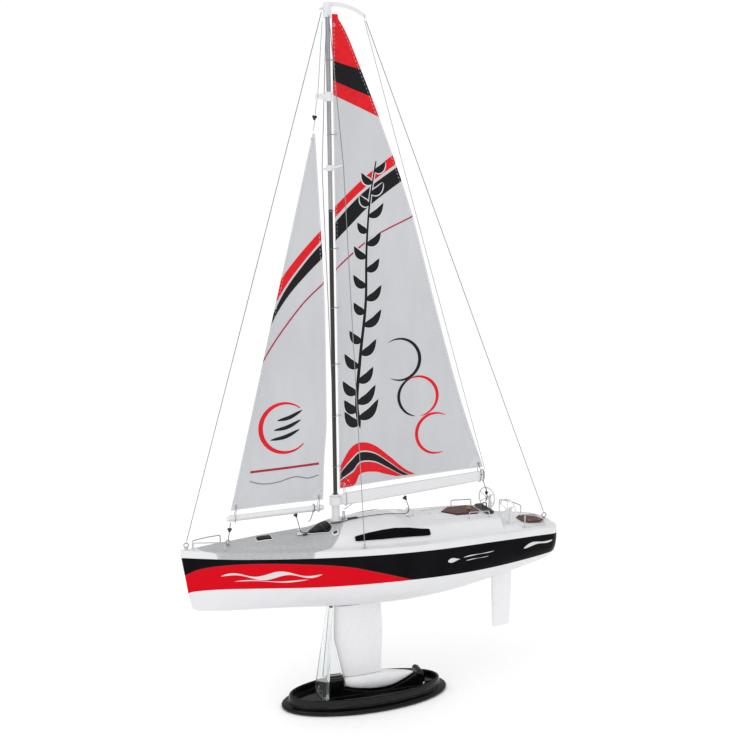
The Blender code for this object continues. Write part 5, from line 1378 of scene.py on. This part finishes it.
# a painted palm frond up the middle of the sail: a curved stem with leaves
FROND = [(-9.5, 187.0), (-11.8, 205.0), (-9.0, 236.0), (-5.2, 270.0), (-4.6, 304.0), (-2.4, 336.0), (1.6, 362.0)]
stem = sampled(FROND, 120)
M_GREY.append((*thick_line(FROND, 2.8, 120, lambda s: (1 - 0.7 * s) * min(1.0, s / 0.05 + 0.15)), 3))
M_WHITE.append((*thick_line(FROND, 4.2, 120, lambda s: (1 - 0.55 * s) * min(1.0, s / 0.05 + 0.25)), 3))
for k in range(22):
    s = 0.03 + 0.93 * k / 21
    i = int(s * 119)
    base = stem[i]
    side = 1 if k % 2 else -1
    size = 17.5 * (1 - 0.42 * s) * (0.8 if side < 0 else 1.0) * (0.9 + 0.1 * math.sin(2.3 * k))
    tip = (base[0] + side * size * 0.86, base[1] + size * 0.74)
    mid = (base[0] + side * size * 0.50, base[1] + size * 0.20)
    leaf = [tuple(base), mid, tip]
    fat = 6.6 * (1 - 0.35 * s)
    M_GREY.append((*thick_line(leaf, fat, 30, lambda q: math.sin(math.pi * q ** 0.8) ** 0.8), 3))
    M_WHITE.append((*thick_line(leaf, fat + 1.5, 30, lambda q: math.sin(math.pi * q ** 0.8) ** 0.6), 3))

# three open hoops
M_BLACK.append((*ring_stroke((18.6, 231.9), 14.0, 124, -118, 2.2, swell(0.7)), 3))
M_BLACK.append((*ring_stroke((31.6, 206.4), 13.6, 100, 262, 2.0, swell(0.6)), 3))
M_RED.append((*ring_stroke((31.6, 206.4), 13.6, 126, -84, 2.1, swell(0.7)), 3))
M_RED.append((*ring_stroke((44.6, 180.4), 13.9, 62, 292, 2.2, swell(0.55)), 3))

# the wave along the foot
w0 = sampled([(-24.0, 161.0), (-22.4, 165.1), (-16.4, 174.0), (-9.4, 177.4), (0.2, 175.0), (10.8, 166.9), (21.5, 157.5), (29.6, 152.9)], 60)
w3 = sampled([(-24.0, 148.2), (-21.7, 148.1), (-13.9, 149.0), (-9.5, 156.0), (0.2, 156.8), (8.0, 154.6), (14.3, 152.9), (16.0, 152.4)], 60)


def between_waves(f):
    return w0 * (1 - f) + w3 * f


M_RED.append((between_waves(0.0), between_waves(0.27), 5))
M_BLACK.append((between_waves(0.32), between_waves(0.60), 5))
M_RED.append((between_waves(0.65), between_waves(1.0), 6))

printed("main_print_red", main, M_RED, INK_RED, 3, "main_boom")
printed("main_print_black", main, M_BLACK, INK_BLACK, 3, "main_boom")
printed("main_print_head_band", main, M_HEAD_BLACK, INK_BLACK, 4, "main_boom")
printed("main_print_line", main, M_DARK, INK_DARK_RED, 3, "main_boom")
printed("main_brush_edges", main, M_WHITE, SAIL_PATCH, 4, "main_boom", 0.6)
printed("main_brush_marks", main, M_GREY, INK_BLACK, 5, "main_boom", 0.6)

J_RED = [(sampled([(-67.0, 279.8), (-65.4, 282.6), (-56.3, 294.7), (-44.7, 308.2), (-29.5, 324.4)], 40), sampled([(-70.0, 264.6), (-68.4, 267.6), (-58.1, 284.1), (-44.8, 300.9), (-29.5, 318.0)], 40), 6)]
J_BLACK = [(sampled([(-72.6, 255.0), (-71.5, 257.3), (-59.8, 279.3), (-44.8, 299.0), (-29.5, 315.6)], 40), sampled([(-76.0, 239.8), (-75.3, 241.4), (-68.2, 259.6), (-58.2, 275.3), (-44.9, 290.2), (-29.5, 305.4)], 40), 8)]
J_DARK = [(*thick_line([(-79.0, 228.0), (-77.9, 229.8), (-70.1, 242.0), (-61.8, 253.8), (-46.8, 272.2), (-29.5, 288.2)], 0.9, 50), 1)]
J_HOOP = [(*ring_stroke((-60.6, 190.6), 16.2, 52, 318, 3.0, lambda s: 0.25 + 0.75 * math.sin(math.pi * s) ** 1.2), 3)]
J_MARK = [(*thick_line([(-70.5 + 2.4 * k, 183.0 + 6.3 * k), (-60.5 + 1.5 * k, 184.8 + 6.3 * k), (-51.0 + 1.0 * k, 189.2 + 6.3 * k)], 2.5, 34, swell(0.6)), 3) for k in range(3)]
J_LINE = [(*thick_line([(-84.5, 157.0), (-76.0, 154.6), (-66.0, 155.0), (-54.8, 157.8), (-46.0, 156.4), (-38.8, 157.9)], 0.7, 60), 1)]
J_RULE = [(*thick_line([(-84.0, 163.0), (-62.0, 164.0), (-38.5, 165.6)], 1.5, 40), 1)]
printed("jib_print_red", jib, J_RED + J_HOOP, INK_RED, 3, "jib_boom")
printed("jib_print_black", jib, J_BLACK, INK_BLACK, 3, "jib_boom")
printed("jib_print_line", jib, J_DARK, INK_DARK_RED, 3, "jib_boom")
printed("jib_brush_marks", jib, J_MARK, INK_BLACK, 3, "jib_boom")
printed("jib_wave_line", jib, J_LINE, INK_GREY, 3, "jib_boom")
printed("jib_rule", jib, J_RULE, INK_DARK_RED, 3, "jib_boom")


# hems, corner patches and stitching
def edge_points(sail, side, n, inset=0.0):
    src = sail.a if side == "luff" else sail.b
    s = np.linspace(0.003, 0.997, n)
    y = np.interp(s, sail.v, src[:, 0])
    z = np.interp(s, sail.v, src[:, 1])
    return np.stack([y + (inset if side == "luff" else -inset), z], -1)


def foot_points(sail, n, inset=0.0):
    s = np.linspace(0.004, 0.996, n)
    a, b = sail.a[0], sail.b[0]
    return np.stack([a[0] + (b[0] - a[0]) * s, a[1] + (b[1] - a[1]) * s + inset], -1)


def dashes(line, pitch, size, width):
    """Short stitches along a line."""
    seg = np.linalg.norm(np.diff(line, axis=0), axis=1)
    at = np.concatenate([[0], np.cumsum(seg)])
    out = []
    s = pitch
    while s < at[-1] - pitch:
        p = [np.array([np.interp(q, at, line[:, 0]), np.interp(q, at, line[:, 1])]) for q in (s - size / 2, s + size / 2)]
        t = (p[1] - p[0]) / max(np.linalg.norm(p[1] - p[0]), 1e-9)
        nrm = np.array([-t[1], t[0]]) * width / 2
        out.append((np.array([p[0] + nrm, p[1] + nrm]), np.array([p[0] - nrm, p[1] - nrm]), 1))
        s += pitch
    return out


def patch(c, r, a0, a1, n=18):
    ang = np.radians(np.linspace(a0, a1, n))
    d = np.stack([np.cos(ang), np.sin(ang)], -1)
    c = np.array(c, float)
    return (c + d * 0.3, c + d * r, 6)


for label, sail, body, clew_y, tack_y, head in (("main", main, "main_boom", 79.0, -24.4, (-27.6, 449.0)), ("jib", jib, "jib_boom", -35.9, -97.3, (-40.6, 378.4))):
    clew = (sail.b[0, 0], sail.b[0, 1])
    tack = (sail.a[0, 0], sail.a[0, 1])
    hems = [(edge_points(sail, "leech", 160), edge_points(sail, "leech", 160, 1.7), 2), (edge_points(sail, "luff", 160), edge_points(sail, "luff", 160, 1.5), 2), (foot_points(sail, 60), foot_points(sail, 60, 1.6), 2)]
    printed(label + "_hems", sail, hems, SAIL_PATCH, 1, body)
    r = 10.5 if label == "main" else 8.0
    patches = [patch(clew, r, 96, 184), patch(tack, r * 0.85, -2, 96), patch(head, r * 0.9, 250, 300)]
    printed(label + "_corner_patches", sail, patches[:2], SAIL_PATCH, 2, body)
    rows_of = dashes(edge_points(sail, "leech", 200, 1.35), 2.6, 1.5, 0.16) + dashes(foot_points(sail, 80, 1.25), 2.6, 1.5, 0.16) + dashes(edge_points(sail, "luff", 200, 1.2), 2.6, 1.5, 0.16)
    for c, a0, a1 in ((clew, 100, 180), (tack, 2, 92)):
        rr = r * (1.0 if c is clew else 0.85) - 0.7
        rows_of += dashes(np.array(arc_line(c, rr, a0, a1, 20)), 1.9, 1.1, 0.16)
    printed(label + "_stitching", sail, rows_of, THREAD, 6, body)


def eyelet(name, sail, y, z, body, r=1.0, wire=0.34, mat=STEEL):
    x = sail.surface(y, z)
    obj = piece(name, *tube_data(circle_path((x, y, z), r, (1, 0, 0), 24), wire, 10, closed=True), mat, body, smooth=80)
    return obj, (x, y, z)


eyelet("main_clew_eyelet", main, 75.6, 157.2, "main_boom")
eyelet("main_tack_eyelet", main, -21.6, 150.2, "main_boom")
eyelet("main_head_eyelet", main, -26.2, 445.4, "main_boom", 0.8, 0.3)
eyelet("jib_clew_eyelet", jib, -38.6, 143.6, "jib_boom")
eyelet("jib_tack_eyelet", jib, -93.9, 141.6, "jib_boom")
eyelet("jib_head_eyelet", jib, -40.9, 374.8, "jib_boom", 0.7, 0.28)

MAIN_LOOP = [(0.25, 75.6, 157.6), (1.2, 75.8, 155.2), (2.7, 76.2, 152.4), (2.75, 76.4, 146.8), (1.4, 76.4, 144.6), (-1.4, 76.4, 144.6), (-2.75, 76.4, 146.8), (-2.7, 76.2, 152.4), (-1.6, 75.8, 155.2)]


def closed_smooth(pts, n=60):
    p = [np.array(v, float) for v in pts]
    m = len(p)
    out = []
    for k in range(n):
        u = k / n * m
        i = int(u)
        t = u - i
        p0, p1, p2, p3 = p[(i - 1) % m], p[i % m], p[(i + 1) % m], p[(i + 2) % m]
        out.append(0.5 * (2 * p1 + (p2 - p0) * t + (2 * p0 - 5 * p1 + 4 * p2 - p3) * t * t + (3 * p1 - 3 * p2 + p3 - p0) * t**3))
    return out


tube_piece("main_clew_tie", closed_smooth(MAIN_LOOP), 0.2, CORD_BLACK, "main_boom", 8, closed=True)
tube_piece("main_tack_tie", closed_smooth([(0.1, -21.6, 150.6), (1.2, -21.4, 148.4), (2.7, -20.8, 145.6), (2.8, -20.4, 138.0), (1.2, -20.4, 135.9), (-1.2, -20.4, 135.9), (-2.8, -20.4, 138.0), (-2.7, -20.8, 145.6), (-1.3, -21.4, 148.4)]), 0.2, CORD_GREY, "main_boom", 8, closed=True)
for name, y, z, yb, zb in (("jib_clew_tie", -38.6, 144.0, -39.2, 135.8), ("jib_tack_tie", -93.9, 142.0, -94.6, 133.9)):
    tube_piece(name, closed_smooth([(0.1, y, z), (1.1, y, z - 2.6), (2.5, yb, zb + 1.6), (2.5, yb, zb - 1.2), (1.0, yb, zb - 2.6), (-1.0, yb, zb - 2.6), (-2.5, yb, zb - 1.2), (-2.5, yb, zb + 1.6), (-1.1, y, z - 2.6)]), 0.22, CORD_GREY, "jib_boom", 8, closed=True)

for k, z in enumerate((163.0, 197.0, 231.0, 268.0, 306.0, 330.0, 378.0, 424.0)):
    c = mast_point(z)
    loop = [(2.15 * math.cos(t), c[1] + 1.5 + 3.15 * math.sin(t), z + 0.25 * math.sin(t)) for t in np.linspace(0, 2 * math.pi, 33)[:-1]]
    tube_piece(f"luff_ring_{k}", loop, 0.16, STAY_WIRE, "main_boom", 8, closed=True)

# -------------------------------------------------------- fittings on the lines


def bowsie(name, c, size, body, turn=0.0, lean=0.0):
    """A three-cornered cord adjuster with hollow sides, pierced for the line."""
    out = []
    n = 36
    for k in range(n):
        t = 2 * math.pi * k / n
        r = size * (0.60 + 0.40 * abs(math.cos(1.5 * t)) ** 1.4)
        out.append((r * math.cos(t + turn), r * math.sin(t + turn)))
    cx, cy, cz = c
    rings = []
    for x, k in ((-0.45, 0.86), (-0.3, 1.0), (0.3, 1.0), (0.45, 0.86)):
        rings.append([(cx + x, cy + k * a + lean * k * b, cz + k * b) for a, b in out])
    body_data = loft(rings)
    holes = []
    for k in range(3):
        t = turn + 2 * math.pi * k / 3
        hc = (cx, cy + 0.62 * size * math.cos(t), cz + 0.62 * size * math.sin(t))
        holes.append(tube_data([(hc[0] + 0.46, hc[1] + 0.3 * math.cos(a), hc[2] + 0.3 * math.sin(a)) for a in np.linspace(0, 2 * math.pi, 11)[:-1]], 0.09, 6, closed=True))
    obj = piece(name, *merged([body_data] + holes), BLACK_SATIN, body, smooth=50)
    return obj


bowsie("halyard_bowsie", (0.5, -39.4, 388.2), 1.7, "boat", 0.35)
bowsie("jib_sheet_bowsie", (0.3, -54.6, 132.2), 1.5, "boat", 0.9)
bowsie("main_sheet_bowsie", (0.5, 21.4, 137.4), 1.7, "boat", 1.1)
bowsie("tack_bowsie", (0.0, -98.3, 126.4), 1.6, "boat", 0.4)
bowsie("boom_sheet_bowsie", (0.5, 81.7, 136.0), 1.4, "boat", 0.2)

tack_top = 133.8 - 2.05 - 0.7
tack_route = smooth_path([(0.0, -97.6, tack_top), (0.0, -98.3, 126.0), (0.0, -99.3, node_mid("tack_eye")[2] + 1.7)], 24)
tack = tube_piece("tack_cord", tack_route, 0.25, CORD_BLACK, n=8)
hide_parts("tack_line")
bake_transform(tack)
hal_route = smooth_path([(0.0, -40.3, 380.2), (0.3, -39.4, 384.0), (0.5, -39.2, 387.0)], 16)
hal = tube_piece("jib_halyard_cord", hal_route, 0.2, CORD_GREY, n=8)
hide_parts("jib_halyard")
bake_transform(hal)
bench_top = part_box("helm_bench")[1].z / MM
sheet2 = smooth_path([(0.0, 79.2, 144.7), (0.9, 81.0, 139.0), (0.6, 82.2, 133.0), (0.0, 81.0, bench_top + 0.55)], 40)
ms = tube_piece("main_sheet_cord", sheet2, 0.25, CORD_BLACK, n=8)
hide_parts("main_sheet")
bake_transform(ms)

tube_piece("jib_sheet_tail", smooth_path([(0.0, -42.6, 134.6), (0.9, -43.8, 131.2), (1.3, -45.0, 128.6), (0.9, -46.4, 127.2)], 24), 0.24, CORD_BLACK, "jib_boom", 8)
tube_piece("jib_sheet_hitch", closed_smooth([(2.4, -42.4, 136.2), (1.6, -42.2, 138.2), (-1.6, -42.2, 138.2), (-2.4, -42.4, 136.2), (-1.5, -42.7, 133.6), (1.5, -42.7, 133.6)]), 0.24, CORD_BLACK, "jib_boom", 8, closed=True)
tube_piece("main_sheet_hitch", closed_smooth([(2.35, 78.9, 149.0), (1.5, 78.8, 152.3), (-1.5, 78.8, 152.3), (-2.35, 78.9, 149.0), (-1.4, 79.0, 145.2), (1.4, 79.0, 145.2)]), 0.24, CORD_BLACK, "main_boom", 8, closed=True)
tube_piece("vang_wire", smooth_path([(0.0, -21.9, 133.4), (0.0, -19.4, 134.2), (0.0, -16.4, 136.2), (0.0, -15.0, 137.2)], 20), 0.3, STEEL, "boat", 8)

# ---------------------------------------------------------------------- stand
base = refined("stand_base", BLACK, 0.35, 30)
pylon = refined("stand_pylon", CLEAR, 0.15, 40)
for k, (x, y, z) in enumerate(((9.0, -36.2, 4.2), (-9.0, -36.2, 4.2), (7.4, 33.0, 4.2), (-7.4, 33.0, 4.2))):
    piece(f"stand_peg_{k}", *revolve([(0, 1.5), (0.3, 1.5), (0.5, 1.0), (3.0, 0.9), (3.3, 0.6), (3.4, 0.3)], (x, y, z), (0, 0, 1), 20), STEEL, "stand")

# -------------------------------------------------------------- sail areas
M_AREA = 0.5 * abs(sum(x0 * y1 - x1 * y0 for (x0, y0), (x1, y1) in zip(*(lambda q: (q, q[1:] + q[:1]))([tuple(p) for p in np.concatenate([main.a, main.b[::-1]])])))) * 1e-6
J_AREA = 0.5 * abs(sum(x0 * y1 - x1 * y0 for (x0, y0), (x1, y1) in zip(*(lambda q: (q, q[1:] + q[:1]))([tuple(p) for p in np.concatenate([jib.a, jib.b[::-1]])])))) * 1e-6

# ------------------------------------------------------------- floor and light

floor_mat = Mat("studio_floor")
paper = floor_mat.noise(260.0, 4.0)
floor_mat.done(floor_mat.mix(floor_mat.ramp(paper, 0.3, 0.7), (0.97, 0.97, 0.97), (0.985, 0.985, 0.985)), 0.9, 0.0, 0.0, floor_mat.bump(paper, 0.03, 0.0002), Specular_IOR_Level=0.0)
mesh = bpy.data.meshes.new("floor")
vs = [(0.0, 0.0, -0.0002)]
for r in (0.5, 1.0, 2.0, 4.0, 9.0):
    vs += [(r * math.cos(2 * math.pi * k / 48), r * math.sin(2 * math.pi * k / 48), -0.0002) for k in range(48)]
fs = [(0, 1 + k, 1 + (k + 1) % 48) for k in range(48)]
for q in range(4):
    fs += [(1 + 48 * q + k, 49 + 48 * q + k, 49 + 48 * q + (k + 1) % 48, 1 + 48 * q + (k + 1) % 48) for k in range(48)]
mesh.from_pydata(vs, [], fs)
mesh.materials.append(floor_mat.mat)
floor = bpy.data.objects.new("floor", mesh)
bpy.context.scene.collection.objects.link(floor)


def area_light(name, az, el, dist, size, watts, aim_at=(0, 0, 0.2), colour=(1, 1, 1)):
    a, e = math.radians(az), math.radians(el)
    d = Vector((math.sin(a) * math.cos(e), -math.cos(a) * math.cos(e), math.sin(e)))
    data = bpy.data.lights.new(name, "AREA")
    data.shape = "RECTANGLE"
    data.size, data.size_y = size
    data.energy = watts
    data.color = colour
    obj = bpy.data.objects.new(name, data)
    bpy.context.scene.collection.objects.link(obj)
    obj.location = Vector(aim_at) + d * dist
    obj.rotation_mode = "QUATERNION"
    obj.rotation_quaternion = (-d).to_track_quat("-Z", "Y")
    return obj


area_light("key", 28, 46, 1.7, (0.8, 0.8), 3.4)
area_light("front", 78, 22, 1.9, (0.5, 1.1), 1.2)
area_light("top", 75, 86, 1.9, (1.8, 1.8), 2.0)
world = bpy.data.worlds.new("studio")
world.use_nodes = True
wn = world.node_tree
bg = wn.nodes["Background"]
bg.inputs[0].default_value = (1.0, 1.0, 1.0, 1.0)
path = wn.nodes.new("ShaderNodeLightPath")
dim = wn.nodes.new("ShaderNodeMath")
dim.operation = "MULTIPLY_ADD"
dim.inputs[1].default_value = -0.55
dim.inputs[2].default_value = 1.02
wn.links.new(path.outputs["Is Glossy Ray"], dim.inputs[0])
wn.links.new(dim.outputs[0], bg.inputs[1])
bpy.context.scene.world = world
bpy.context.scene.view_settings.view_transform = "Standard"
